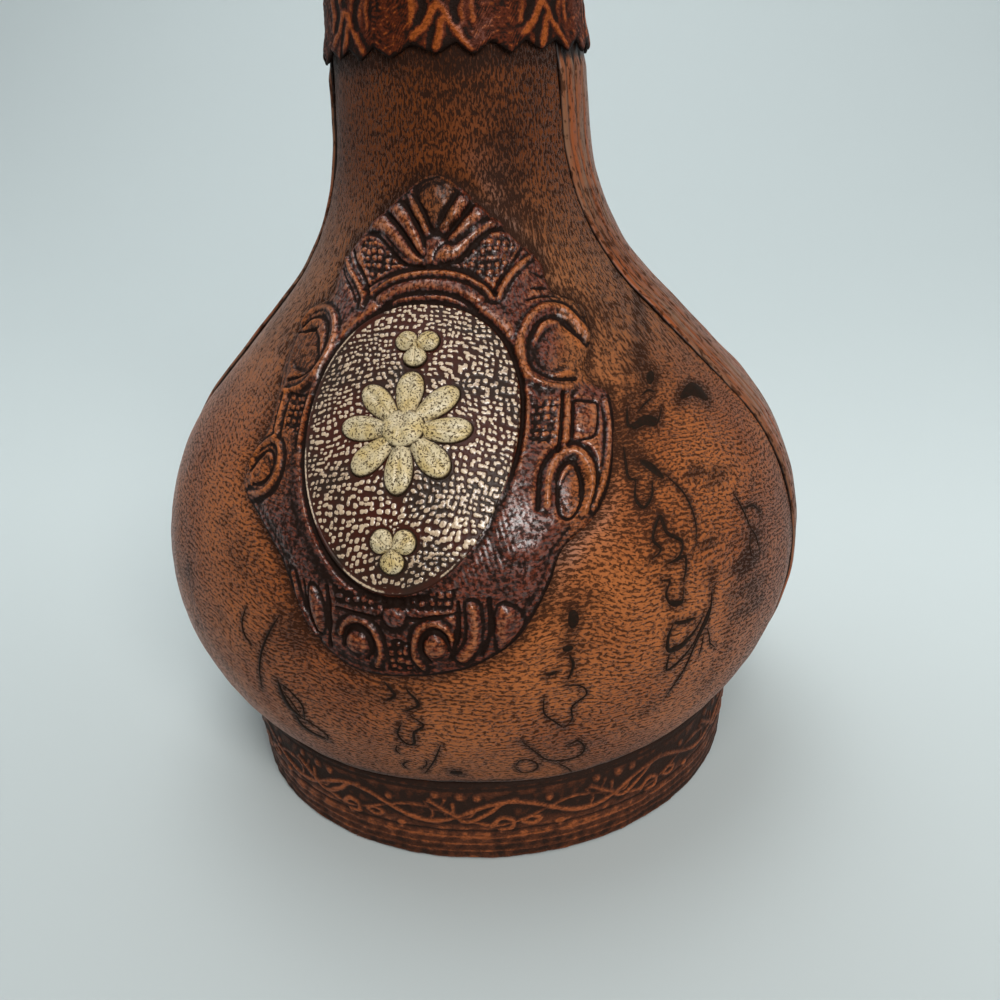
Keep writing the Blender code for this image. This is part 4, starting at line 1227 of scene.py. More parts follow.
class DECANTER_OT_crest_frame(bpy.types.Operator):
    """The embossed scrollwork frame of the crest"""

    bl_idname = "decanter.crest_frame"
    bl_label = "Crest frame"

    def execute(self, context):
        around = (-pi, pi, 250)
        mesh = two_sided("crest_frame_leather", frame_side, frame_back, around, (0, 1, 18), True)
        material = crest_finish(context.scene.decanter_hues)
        add_piece(mesh, material, "bottle", "crest_leather", "crest_frame", "crest_filler")
        return {"FINISHED"}


# Heights over the leather in millimetres
SHIELD_BED = 1.3
SHIELD_RIM = 2.45
SHIELD_DOME = 0.9


def disc(p, q):
    """Square laid over a disc without a pole: each coordinate shortened by the other's square."""
    return p * np.sqrt(1 - 0.5 * q * q), q * np.sqrt(1 - 0.5 * p * p)


def shield_place(p, q):
    """Surface x and y of a place of the square over the oval, and its share of the way out."""
    a, b = disc(p, q)
    x = OVAL_MIDDLE[0] + a * OVAL_HALF_W * (1 + OVAL_EGG * b)
    return x, OVAL_MIDDLE[1] + b * OVAL_HALF_H, np.hypot(a, b)


def shield_side(p, q):
    """Top of the oval shield: a low dome covered with rows of pebbles inside a plain rim with a thin line."""
    x, y, share = shield_place(p, q)
    points = on_front(x, y, 0)
    rim = smooth(1, 0.975, share)
    lined = np.maximum(smooth(-4, -10, x), smooth(27, 20, y))
    field = smooth(1, 0.98, share) * (1 - lined * smooth(0.925, 0.945, share))
    bow_x = x + 0.9 * np.sin(y / 9) + 0.5 * wander(points, 9 * MM, 21)
    bow_y = y + 0.01 * (x - OVAL_MIDDLE[0]) ** 2 + 0.5 * wander(points, 9 * MM, 22)
    least = 0.285 + 0.06 * low_right(x, y)
    stone = pebbles(bow_x, bow_y, 1.1, 1.14, 31, 0.55, least) * field * flower_halo(x, y)
    height = SHIELD_RIM * np.sqrt(held(rim)) + SHIELD_DOME * held(1 - share ** 2)
    line = ridge((share - 0.962) * OVAL_HALF_W, 0.36) * lined
    height += 0.18 * stone + 0.2 * line
    broken = smooth(-0.9, 0.3, wander(points, 11 * MM, 23))
    return {
        "co": on_front(x, y, height),
        "uv": pair(x, y) * MM,
        "pebble": np.maximum(stone, 0.9 * line * broken),
    }


def shield_back(p, q):
    """Underside of the shield, at one height over the leather."""
    x, y, _ = shield_place(p, q)
    return {"co": on_front(x, y, SHIELD_BED), "uv": pair(x, y) * MM}


class DECANTER_OT_shield(bpy.types.Operator):
    """The oval pebbled shield in the crest"""

    bl_idname = "decanter.shield"
    bl_label = "Oval shield"

    def execute(self, context):
        mesh = two_sided("shield_leather", shield_side, shield_back, (-1, 1, 56), (-1, 1, 68))
        material = shield_finish(context.scene.decanter_hues)
        add_piece(mesh, material, "bottle", "shield_leather", "crest_shield")
        return {"FINISHED"}


def flower_mesh(name, flower, lift, rise, rings, turns=192):
    """A flower on the shield: its reach swings between the heart and the petals' tips.

    Seen from outside, each ring is a share of that reach. Petals are round across, with a groove between them
    and a fine vein down the middle, and the underside is flat.
    """
    angle = np.linspace(-pi, pi, turns + 1)[:, None]
    middle_y, petals = flower[:2]
    swing = np.abs(np.cos(angle * petals / 2))
    reach = flower_reach(angle, *flower[1:])
    up = np.linspace(0, 1, rings + 1)[None, :]
    share = np.concatenate((up, up[:, -2::-1]), 1)
    top = np.concatenate((0 * up, 0 * up[:, 1:] + 1), 1)
    radius = share * reach
    x, y = OVAL_MIDDLE[0] + radius * np.sin(angle), middle_y - radius * np.cos(angle)
    over = shield_dome(x, y)
    bulge = np.sqrt(held(1 - share ** 3)) * (0.3 + 0.7 * held(swing * 1.2) ** 0.9)
    vein = np.exp(-((1 - swing) / 0.012) ** 2) * smooth(0.15, 0.4, share) * smooth(1, 0.8, share)
    bulge = bulge - 0.22 * vein
    height = over + lift + top * rise * bulge
    tone = held(0.15 + 0.75 * bulge) * top
    return round_mesh(name, on_front(x, y, height), pair(x, y) * MM, {"tone": tone}, True)


def shield_dome(x, y):
    """Height of the shield's dome in millimetres, without its pebbles."""
    share = held(oval_share(x, y))
    return SHIELD_RIM + SHIELD_DOME * (1 - share ** 2)


# Flowers on the shield: middle height, petals, reach of a petal, heart radius and how pointed a petal is
FLOWER_Y = 45.5
FLOWERS = ((FLOWER_Y, 8, 11.8, 4.2, 0.55), (62.2, 3, 4.4, 1.5, 0.6), (25.2, 3, 4.4, 1.5, 0.6))
BOSS = (FLOWER_Y, 1, 3.8, 3.8, 1)


def flower_reach(angle, petals, outer_r, heart_r, point):
    """How far a flower reaches at an angle: from its heart to its petals' tips, as a power of a cosine."""
    return heart_r + (outer_r - heart_r) * np.abs(np.cos(angle * petals / 2)) ** point


def flower_halo(x, y):
    """0 beside the flowers, where the ground stays dark, and 1 a millimetre and a half away."""
    clear = np.ones(np.shape(x))
    for middle_y, *form in FLOWERS:
        dx, dy = x - OVAL_MIDDLE[0], y - middle_y
        reach = flower_reach(np.arctan2(dx, -dy), *form)
        clear *= smooth(0.1, 0.9, np.hypot(dx, dy) - reach)
    return clear


class DECANTER_OT_flowers(bpy.types.Operator):
    """The pale rosette, its boss, and the sprig above and below it"""

    bl_idname = "decanter.flowers"
    bl_label = "Rosette and sprigs"

    def execute(self, context):
        material = pale_finish(context.scene.decanter_hues)
        rise = context.scene.decanter_sizes.flower_rise / MM
        for node, flower in zip(("rosette", "sprig_upper", "sprig_lower"), FLOWERS):
            mesh = flower_mesh(node + "_leather", flower, 0.1, rise, round(2 * flower[2]))
            add_piece(mesh, material, "bottle", "pale_leather", node)
        mesh = flower_mesh("rosette_boss_leather", BOSS, 0.7 * rise, 1.2 * rise, 12, 48)
        add_piece(mesh, material, "bottle", "pale_leather", "rosette_boss")
        return {"FINISHED"}


# Tooled vines, in the crest's millimetres: line width, then the points of the line
VINES = (
    (2.6, (47.4, 51.6), (48.6, 51.4), (49.6, 51)),
    (1, (42, 47.4), (42.2, 43.6), (45, 43.6), (49, 42.4), (51, 45)),
    (0.6, (44.6, 45.6), (46.4, 46.8), (48.8, 47.6)),
    (0.6, (45.6, 48.6), (47.6, 49.2), (49.4, 48.4)),
    (2.6, (56.6, 45.4), (60.6, 46), (63.6, 44.8), (66.4, 42.6)),
    (2.1, (43, 42.9), (46, 43.7), (49.4, 43)),
    (1.6, (44.5, 36.5), (47, 34.8), (50, 32)),
    (0.8, (43.5, 33.2), (43.4, 30), (45.2, 28), (47, 29.6), (47.2, 32.2)),
    (0.7, (41, 40), (41.4, 36.6), (42, 34), (44, 33)),
    (0.5, (50, 33), (55, 28), (57.6, 22.6), (57.5, 18)),
    (0.9, (47, 18.5), (49, 19.8), (47.2, 22.2), (48.8, 25.6), (50.4, 22.4), (54, 20), (53.4, 17.6),
     (50.5, 16.8)),
    (0.8, (50.4, 16.9), (52.6, 17), (54.8, 17), (55, 14.6), (54.2, 12.6)),
    (0.7, (49.2, 14.2), (51.2, 13.6), (50.4, 11.4), (51.6, 9.2), (54, 8.6), (54.4, 11.2)),
    (1.5, (51.4, 9.6), (52.6, 8.9), (54.2, 8.8)),
    (1.1, (52.4, 5.2), (54.6, 4.6), (57.4, 4.6)),
    (1.2, (52.2, 5), (51, 2.4), (51.2, -0.2), (53.4, -0.6), (57, 1.2), (59.6, 4)),
    (1.6, (51.8, 0), (54.2, -0.4), (57.2, 1.4)),
    (0.9, (51.4, -1.2), (51, -4.8), (54.8, -3.2), (58, -0.6)),
    (0.8, (62, 9), (61.5, 4), (58.2, -1), (55, -7), (51, -12)),
    (1.4, (61.6, 5.4), (59.8, 2), (57.4, -1.4)),
    (0.5, (60, 0), (59.8, -2.4), (59, -5)),
    (0.5, (61, 1), (61.8, -1.2), (62.2, -3), (64, -5)),
    (0.6, (70, 24), (72.4, 20.4), (75, 16)),
    (0.6, (75, 16), (74.2, 13.4), (74.8, 10.6)),
    (0.6, (75, 16), (77.2, 13.6), (78.6, 10.4)),
    (0.6, (72.6, 20.4), (76.6, 19.8), (80, 17.4)),
    (2.2, (31.3, 12.8), (31.6, 11), (31.4, 9.4)),
    (2.2, (30.6, 6.2), (30.6, 5)),
    (0.8, (30.8, 4.4), (31.6, 2), (30.5, -1)),
    (0.9, (26.4, 0.8), (27.6, 1), (28.6, 1.4)),
    (0.5, (30, -2), (33, -3), (34, -5.2), (31.2, -7.6), (31, -11), (29.5, -13)),
    (0.5, (26, -4), (25.8, -8), (27.8, -11), (29.2, -13)),
    (0.7, (-24, 10), (-28, 4.4), (-31.2, -2), (-33, -10)),
    (0.6, (-33, 9), (-34.6, 5.6), (-34.2, 2.8), (-32.8, 1.2)),
    (1.6, (-27.2, -5.6), (-26.8, -9.4), (-25.6, -12.4), (-23, -15.2)),
    (0.7, (-27.2, -5.6), (-24.2, -7.2), (-22.2, -10.4), (-23, -15.2)),
    (0.5, (-26.6, -7.4), (-24.6, -10.6), (-23.4, -13.8)),
    (0.7, (-25.2, -14.2), (-21.4, -15.4), (-18.8, -18.4), (-19, -20.6)),
    (1.4, (-25.2, -14.2), (-24.4, -17.4), (-21.8, -19.8), (-19, -20.6)),
    (0.9, (-3, 0), (-1.2, -2.6), (-3, -4.2)),
    (0.8, (1, -1), (3, -4.6), (0.2, -6.6)),
    (0.8, (1, -7.5), (3.2, -10), (1.2, -12.2), (0.6, -15.8), (-1, -16), (-2.2, -13.2), (-1, -10)),
    (0.5, (-3, -17), (-3.6, -18.8), (-3, -20.4)),
    (0.5, (-2, -23), (-3.4, -25), (-3, -27.4)),
    (0.5, (2, -22), (1.4, -24.4), (0, -26.4)),
    (0.5, (6, -15), (3.4, -22), (0.2, -29)),
    (2.6, (6.6, -26.2), (7.2, -28.6)),
    (0.6, (18.6, -25.6), (20.4, -22.2), (23, -24.4), (22.6, -28), (20, -29.2), (18.6, -25.6)),
    (0.7, (21, -15), (23.4, -20), (25, -23.2), (28.2, -25.2), (31.6, -24.4), (33, -21.2), (31.6, -18),
     (30, -19.2)),
    (0.5, (27, -25.4), (28.8, -30), (29.5, -34.6)),
)
# The vines beside the crest, which stand again on the sides, and the middle that they are moved from
SIDE_VINES = (30, 80)
SIDE_VINES_MIDDLE = 56
VINE_STEPS = 7
VINE_PROUD = 0.1
VINE_SUNK = 0.35
LENS = ((-1, -1), (0, -1), (1, -1), (0.62, 0), (0, 1), (-0.62, 0))


def stroke(width, points, shift_turn=0, shift_y=0, mirror=1):
    """A burnt line on the coat: a lens-shaped section carried along a smooth curve, pointed at both ends.

    The width grows as a root of a sine from the ends, and the line follows the coat's own height.
    """
    path = through([(mirror * x, y + shift_y) for x, y in points], VINE_STEPS)
    slope = np.gradient(path, axis=0)
    slope /= np.linalg.norm(slope, axis=1)[:, None] + 1e-9
    share = np.linspace(0, 1, len(path))
    half = 0.5 * width * np.maximum(np.sin(np.pi * share), 0.02) ** 0.42
    section = np.array(LENS)
    x = path[:, None, 0] - slope[:, None, 1] * half[:, None] * section[None, :, 0]
    y = path[:, None, 1] + slope[:, None, 0] * half[:, None] * section[None, :, 0]
    turn, along = crest_place(x, y)
    turn = turn + shift_turn
    ground = wall(turn, along, 0)
    relief = unevenness(ground) if shift_turn else coat_relief(x, y, ground)[0]
    rise = np.where(section[:, 1] < 0, -VINE_SUNK, VINE_PROUD * section[:, 1]) + 0.02
    rise = np.where(section[:, 1] < 0, rise, rise * (half[:, None] / (0.5 * width)))
    return wall(turn, along, (relief + rise) * MM)


def join_strokes(name, strokes):
    """One mesh of many closed strokes; each is a tube whose two ends are closed with a face."""
    points, quads, caps = [], [], []
    start = 0
    sides = len(LENS)
    for grid in strokes:
        rows = len(grid)
        face = grid_faces(rows, sides, True)
        quads.append(start + face[..., 0] * sides + face[..., 1] % sides)
        end = start + (rows - 1) * sides
        caps.append(np.stack((start + np.arange(sides)[::-1], end + np.arange(sides))))
        points.append(grid.reshape(-1, 3))
        start += rows * sides
    return build(name, np.concatenate(points), [np.concatenate(quads), np.concatenate(caps)])


# Where the vines stand again: turn in degrees, rise in millimetres, and whether they are mirrored
VINE_REPEATS = ((-118, 6, 1), (118, 4, -1), (180, -3, 1))


class DECANTER_OT_vines(bpy.types.Operator):
    """The vines and sprigs burnt into the coat"""

    bl_idname = "decanter.vines"
    bl_label = "Tooled vines"

    def execute(self, context):
        material = burnt_finish(context.scene.decanter_hues)
        share = context.scene.decanter_sizes.vine_width
        front, back = [], []
        for width, *points in VINES:
            front.append(stroke((0.2 + 0.7 * width + 0.3 * width * width) * share, points))
        for turn, rise, mirror in VINE_REPEATS:
            behind = turn == 180
            for width, *points in VINES:
                if behind or SIDE_VINES[0] < abs(points[0][0]) < SIDE_VINES[1]:
                    moved = points if behind else [(x - SIDE_VINES_MIDDLE, y) for x, y in points]
                    back.append(stroke(width * share, moved, radians(turn), rise, mirror))
        add_piece(join_strokes("vines_front", front), material, "bottle", "body_leather")
        add_piece(join_strokes("vines_back", back), material, "bottle", "body_leather")
        return {"FINISHED"}


# Foot band: one wave of its vine, in millimetres along the band from the wave's top and up from the floor
BAND_WAVES = 11
BAND_TOP_TURN = 15
BAND_LINES = (
    (0.7, 0.8, (-17, 16.5), (-12.4, 13.4), (-9, 11.2), (-4.4, 13.6), (-1.6, 16), (1.6, 16.8)),
    (0.55, 0.7, (-7, 14.6), (-8.6, 12.6), (-11.6, 13.2), (-12, 15.8)),
    (0.7, 0.7, (-3.8, 10.2), (-1.8, 12), (0.6, 11.2), (0.2, 9), (-2, 8.6)),
    (0.6, 0.6, (2.8, 10.8), (4.6, 11.8), (6.6, 11), (5, 9.8), (2.8, 10.8)),
    (0.45, 0.5, (-13.6, 17), (-14.4, 14.6), (-13.2, 12.4)),
    (0.45, 0.5, (-18, 16), (-16.4, 13.4), (-17.4, 11)),
)
BAND_BERRIES = ((-6.6, 17.6), (-10.4, 17.8), (-15.6, 18), (8.6, 16), (11, 8.8))


def fold(turn, waves, top):
    """Turn measured from the nearest of evenly spaced waves, the first of which stands at top degrees."""
    period = TURN / waves
    return (turn - radians(top) + 0.5 * period) % period - 0.5 * period


def band_relief(turn, height, points):
    """Height of the band's relief in millimetres: the wave vine with leaves and berries, over fine lines."""
    radius = BAND_TOP_R / MM
    z = height / MM
    x = fold(turn, BAND_WAVES, BAND_TOP_TURN) * radius
    period = TURN / BAND_WAVES * radius
    wave = 13.7 + 2.7 * np.cos(TURN * x / period)
    relief = 0.75 * ridge(z - wave, 1.15)
    counter = 12.6 - 2.4 * np.cos(TURN * x / period + 0.5)
    relief = np.maximum(relief, 0.45 * ridge(z - counter, 0.7))
    for half_w, lift, *line in BAND_LINES:
        path = through(line, 4)
        for shift in (-period, 0, period):
            distance = off_path(x + shift, z, path)[0]
            relief = np.maximum(relief, lift * ridge(distance, half_w * 1.5))
    for bx, bz in BAND_BERRIES:
        for shift in (-period, 0, period):
            relief = np.maximum(relief, 0.7 * ridge(np.hypot(x + shift - bx, z - bz), 1.5))
    lines = ridge((z + 0.2 * wander(points, 12 * MM, 41)) % 1.9 - 0.95, 0.5) * smooth(8.6, 7.4, z)
    relief += 0.22 * lines
    relief -= 0.5 * ridge(z - 8.4, 0.6) + 0.4 * ridge(z - 19.6, 0.5)
    return relief + 0.1 * wander(points, 5 * MM, 42) + 0.06 * wander(points, 2.2 * MM, 43)


BAND_LOW_R = 60 * MM
BAND_T = 1.8 * MM
BAND_EDGE_R = 0.9 * MM


def band_radius(height):
    """The band leans out evenly from the floor to its top."""
    share = (height - BAND_BOX[0].z) / (BAND_TOP_Z - BAND_BOX[0].z)
    return BAND_LOW_R + (BAND_TOP_R - BAND_LOW_R) * share


def band_side(turn, height):
    """Outer side of the foot band, whose two edges roll in, with painted shade under the belly and on its far
    sides.
    """
    radius = band_radius(height)
    relief = band_relief(turn, height, ring(radius, turn, height))
    tone = rubbed(relief, 9, 0.22, True)
    edge = np.minimum(height - BAND_BOX[0].z, BAND_TOP_Z - height)
    roll = BAND_EDGE_R * (1 - np.sqrt(1 - held(1 - edge / BAND_EDGE_R) ** 2))
    reach = radius - 0.5 * MM + relief * 0.55 * MM - roll
    # Painted shade under the overhanging belly, darkest at the band's top
    dark = smooth(9 * MM, 20 * MM, height) * 0.16 + 0.35 * smooth(19.4 * MM, 21.2 * MM, height)
    wear = 0.14 * ridge(height - 8 * MM, 5 * MM)
    # Painted shade on the sides that turn away from the front
    far = 0.12 * smooth(radians(30), radians(55), np.abs(turn))
    tone = held(tone - dark - far + wear)
    return {"co": ring(reach, turn, height), "uv": pair(turn * BAND_LOW_R, height), "tone": tone}


def band_back(turn, height):
    """Inner side of the band, its thickness inside the outer one."""
    co = ring(band_radius(height) - BAND_T, turn, height)
    return {"co": co, "uv": pair(turn * BAND_LOW_R, height)}


class DECANTER_OT_band(bpy.types.Operator):
    """The embossed leather band round the foot"""

    bl_idname = "decanter.band"
    bl_label = "Foot band"

    def execute(self, context):
        material = relief_finish(context.scene.decanter_hues, "band", 0.47)
        rise = (BAND_BOX[0].z, BAND_TOP_Z, 13)
        mesh = two_sided("band_leather", band_side, band_back, (-pi, pi, 220), rise, True)
        add_piece(mesh, material, "bottle", "band_leather", "base_band")
        return {"FINISHED"}


# Collar: turns in degrees where tooth tips stand, and the number of the tooth there
TOOTH_TURNS = (-180, -30, -14.5, 5, 65, 180)
TOOTH_NUMBERS = (-12, -2, -1, 0, 4, 12)
TOOTH_H = 2.8 * MM
COLLAR_R = 25 * MM
COLLAR_T = 1 * MM
COLLAR_GROUPS = 8
COLLAR_GROUP_TURN = 6.5
# Half width, height, then the line in millimetres from a group's middle and up from the collar's lowest place
COLLAR_LINES = (
    (0.9, 0.8, (-4.6, 3.4), (-2, 5.8), (0, 8.4), (2.4, 5), (5.2, 0.8)),
    (1, 0.8, (-0.6, 1.4), (0.2, 3.6), (0.6, 5.8)),
    (0.6, -0.8, (-1.8, 1), (-1.6, 3), (-1, 4.6)),
    (0.7, 0.45, (-5, 5.6), (-4.6, 8), (-5, 11)),
    (0.7, 0.45, (6, 5.6), (5.8, 8.2), (6.4, 11)),
    (1, -0.9, (-3.4, 6), (-2.6, 8), (-3, 10.4)),
    (1, -0.9, (3, 5.8), (2.8, 8), (3.8, 10.4)),
    (0.7, 0.7, (-1.6, 10.6), (0.2, 12.2), (2, 10.6)),
)


def tooth_edge(turn):
    """Height of the collar's lower edge: a zigzag of teeth, not all of one length."""
    number = np.interp(np.degrees(turn), TOOTH_TURNS, TOOTH_NUMBERS)
    off = np.abs(number - np.round(number)) * 2
    length = 0.75 + 0.35 * np.sin(np.round(number) * 2.1) ** 2
    rise = np.minimum(off * length, 1)
    return COLLAR_BOX[0].z + TOOTH_H * (1 - length) * 0.6 + TOOTH_H * rise * 0.85


def collar_relief(turn, height, points):
    """Height of the collar's relief in millimetres: leaf groups low and high, crackled panels between."""
    z = (height - COLLAR_BOX[0].z) / MM
    x = fold(turn, COLLAR_GROUPS, COLLAR_GROUP_TURN) * (COLLAR_R / MM)
    high = (COLLAR_BOX[1].z - COLLAR_BOX[0].z) / MM
    mirrored = np.where(z > 0.5 * high, high - z, z)
    relief = np.zeros(np.shape(x))
    for half_w, lift, *line in COLLAR_LINES:
        distance = off_path(x, mirrored, through(line, 4))[0]
        relief += lift * ridge(distance, half_w * 1.3)
    crackle = ridge((x * 0.1 + mirrored + 0.3 * wander(points, 2.4 * MM, 53)) % 0.8 - 0.4, 0.34)
    crackle *= 0.6 + 0.4 * wander(points, 1.5 * MM, 54)
    relief += 0.36 * crackle * smooth(3.6, 6.4, np.abs(x - 0.4)) * smooth(12, 11, mirrored)
    relief += 0.5 * ridge(mirrored - 13.2, 0.7) - 0.5 * ridge(mirrored - 14.6, 0.7)
    lozenge = np.abs(x) / 4.2 + np.abs(z - 0.5 * high) / 4.6
    relief += 0.6 * ridge(lozenge - 0.85, 0.22) + 0.5 * smooth(0.45, 0.2, lozenge)
    return relief + 0.1 * wander(points, 3.4 * MM, 51) + 0.05 * wander(points, 1.6 * MM, 52)


def collar_base(turn, share):
    """Height and outward place of the collar, which swells over the strips and stands off at its edge."""
    low = tooth_edge(turn)
    height = low + (COLLAR_BOX[1].z - low) * share
    over_strip = smooth(radians(40), radians(24), np.abs(np.abs(turn) - 0.5 * pi))
    over_strip = over_strip * smooth(7 * MM, 2.5 * MM, height - COLLAR_BOX[0].z)
    flare = 0.25 * MM * smooth(5 * MM, 0, height - low)
    return height, GAP + 0.45 * MM * over_strip + flare


def collar_side(turn, share):
    """Outer side of the collar with its relief; the pinked edge is dark."""
    height, out = collar_base(turn, share)
    along = along_at(height)
    points = wall(turn, along, out)
    relief = collar_relief(turn, height, points)
    tone = rubbed(relief, 8, 0.24, True)
    edge = height - tooth_edge(turn)
    tone = tone - 0.5 * smooth(0.7 * MM, 0.1 * MM, edge)
    out = out + COLLAR_T * 0.7 + relief * 0.22 * MM - 0.25 * MM * smooth(0.6 * MM, 0, edge)
    return {"co": wall(turn, along, out), "uv": pair(turn * COLLAR_R, height), "tone": held(tone)}


def collar_back(turn, share):
    """Plain inner side of the collar."""
    height, out = collar_base(turn, share)
    return {"co": wall(turn, along_at(height), out), "uv": pair(turn * COLLAR_R, height)}


class DECANTER_OT_collar(bpy.types.Operator):
    """The pinked collar round the neck and the leather roll round the mouth"""

    bl_idname = "decanter.collar"
    bl_label = "Neck collar and lip"

    def execute(self, context):
        material = relief_finish(context.scene.decanter_hues, "collar", 0.44)
        around = (-pi, pi, 110)
        mesh = two_sided("collar_leather", collar_side, collar_back, around, (0, 1, 26), True)
        add_piece(mesh, material, "bottle", "collar_leather", "neck_collar")
        add_piece(lip_mesh(), material, "bottle", "collar_leather", "lip_roll")
        return {"FINISHED"}


LIP_CREASES = 36


def lip_mesh():
    """The roll round the mouth: a round section with slanting creases drawn into it."""
    outer_r = LIP_BOX[1].x
    inner_r = NECK_TOP_R - COAT_T
    low, high = LIP_BOX[0].z, LIP_BOX[1].z
    half_h = 0.5 * (high - low)
    around = np.linspace(0, TURN, 28, endpoint=False)
    half_w = 0.5 * (outer_r - inner_r)
    box_in = np.abs(np.cos(around)) ** 0.62 * np.sign(np.cos(around))
    box_up = np.abs(np.sin(around)) ** 0.72 * np.sign(np.sin(around))
    turn = np.linspace(-pi, pi, 321)[:, None]
    slant = turn * LIP_CREASES / TURN + around / TURN * 1.2
    crease = ridge(slant % 1 - 0.5, 0.22) * (box_in > -0.2)
    radius = inner_r + half_w + (half_w - 0.22 * MM * crease) * box_in
    height = low + half_h + (half_h - 0.1 * MM * crease) * box_up
    uv = pair(turn * outer_r, around * half_w)
    return round_mesh("lip_leather", ring(radius, turn, height), uv, {"tone": 0.62 - 0.5 * crease})


# Bottom of the glass, in millimetres: radius and rise, outside from its middle out and inside back in
GLASS_HEEL = ((0, 0), (18, 0), (36, 1.2), (47, 7))
GLASS_FLOOR = ((44, 6.5), (34, 1.2), (17, 0), (0, 0))


class DECANTER_OT_glass(bpy.types.Operator):
    """The blown glass inside, from its floor to the mouth"""

    bl_idname = "decanter.glass"
    bl_label = "Glass bottle"

    def execute(self, context):
        along = np.linspace(LENGTHS[0] + 4 * MM, float(along_at(MOUTH_Z)), 90)
        radius, height, lean = side(along)
        outer_out = -(COAT_T + GAP)
        inner_out = outer_out - GLASS_T
        outer = pair(radius + outer_out * np.cos(lean), height + outer_out * np.sin(lean))
        inner = pair(radius + inner_out * np.cos(lean), height + inner_out * np.sin(lean))
        foot_z = GLASS_BOX[0].z
        heel = [(radius * MM, foot_z + rise * MM) for radius, rise in GLASS_HEEL]
        floor = [(radius * MM, foot_z + GLASS_FLOOR_T + rise * MM) for radius, rise in GLASS_FLOOR]
        lip_r = 0.5 * (outer[-1, 0] + inner[-1, 0])
        round_r = 0.5 * (outer[-1, 0] - inner[-1, 0])
        lip = bend((lip_r, MOUTH_Z - round_r), round_r, 0, 180, 8)
        outer = outer[outer[:, 1] < MOUTH_Z - round_r - 0.2 * MM]
        inner = inner[inner[:, 1] < MOUTH_Z - round_r - 0.2 * MM][::-1]
        section = np.concatenate((through(heel, 5), outer, lip, inner, through(floor, 5)))
        mesh = turned_mesh("glass_shell", section, True)
        add_piece(mesh, glass_finish(context.scene.decanter_hues), "bottle", "glass", "glass_bottle")
        return {"FINISHED"}


SKIRT_TEETH = 20
SKIRT_TOOTH_H = 2.2 * MM
# Hole for the dowel in the cork, the skirt and the knob
DOWEL_BORE_R = 4.3 * MM


def skirt_mesh():
    """The stopper's washer: a flat ring whose outer edge is cut into teeth and droops a little."""
    turn = np.linspace(-pi, pi, 241)[:, None]
    rim = SKIRT_BOX[1].x
    off = np.abs((turn / TURN * SKIRT_TEETH) % 1 - 0.5) * 2
    edge = rim - SKIRT_TOOTH_H * (1 - off)
    low, high = SKIRT_BOX[0].z, SKIRT_BOX[1].z
    share = np.concatenate((np.linspace(0, 1, 28), np.linspace(1, 0, 28)))[None, :]
    top = np.concatenate((np.zeros(28), np.ones(28)))[None, :]
    radius = DOWEL_BORE_R + (edge - DOWEL_BORE_R) * share
    height = low + (high - low) * top
    rim_round = smooth(0.93, 1, share) * (high - low) * 0.32
    height = height + np.where(top > 0.5, -rim_round, rim_round)
    tooled = ridge(radius - 0.8 * rim, 0.5 * MM) + ridge(radius - 0.7 * rim, 0.4 * MM)
    height = height - 0.22 * MM * tooled * top
    grid = ring(radius, turn, height)
    tone = held(0.58 - 0.5 * tooled - 0.45 * smooth(0.95, 1, share)) * top
    return round_mesh("skirt_leather", grid, grid[..., :2].copy(), {"tone": tone})


KNOB_MIDDLE_Z = 238.1 * MM
KNOB_R = 22 * MM
GORE_T = 1.5 * MM
GORE_COUNT = 4
GORE_GAP = 0.25 * MM
STITCH_PITCH = 2.6 * MM


def gore_place(across, climb, middle, out):
    """Points and turns of a gore: across it from its middle turn, at an angle above the ball's middle.

    It ends a little short of its neighbours, and lies out metres outside the ball of leather.
    """
    turn = middle + across * (pi / GORE_COUNT - GORE_GAP / (KNOB_R * np.cos(climb)))
    reach = KNOB_R + out
    return ring(reach * np.cos(climb), turn, KNOB_MIDDLE_Z + reach * np.sin(climb)), turn


def gore_side(across, climb, middle):
    """Outer side of one gore, which is stitched and tucked in dark along its seams."""
    points, turn = gore_place(across, climb, middle, 0)
    off = np.abs(across)
    stitch = ridge(climb * KNOB_R / STITCH_PITCH % 1 - 0.5, 0.35) * ridge(off - 0.86, 0.035)
    out = -0.35 * MM * smooth(0.9, 1, off) - 0.22 * MM * stitch + 0.05 * MM * wander(points, 8 * MM, 61)
    return {
        "co": gore_place(across, climb, middle, out - 0.05 * MM)[0],
        "uv": pair(turn * KNOB_R, climb * KNOB_R),
        "shade": held(0.8 * smooth(0.93, 1, off) + 0.8 * stitch),
    }


def gore_back(across, climb, middle):
    """Inner side of a gore, its thickness inside the ball of leather."""
    points, turn = gore_place(across, climb, middle, -GORE_T)
    return {"co": points, "uv": pair(turn * KNOB_R, climb * KNOB_R)}


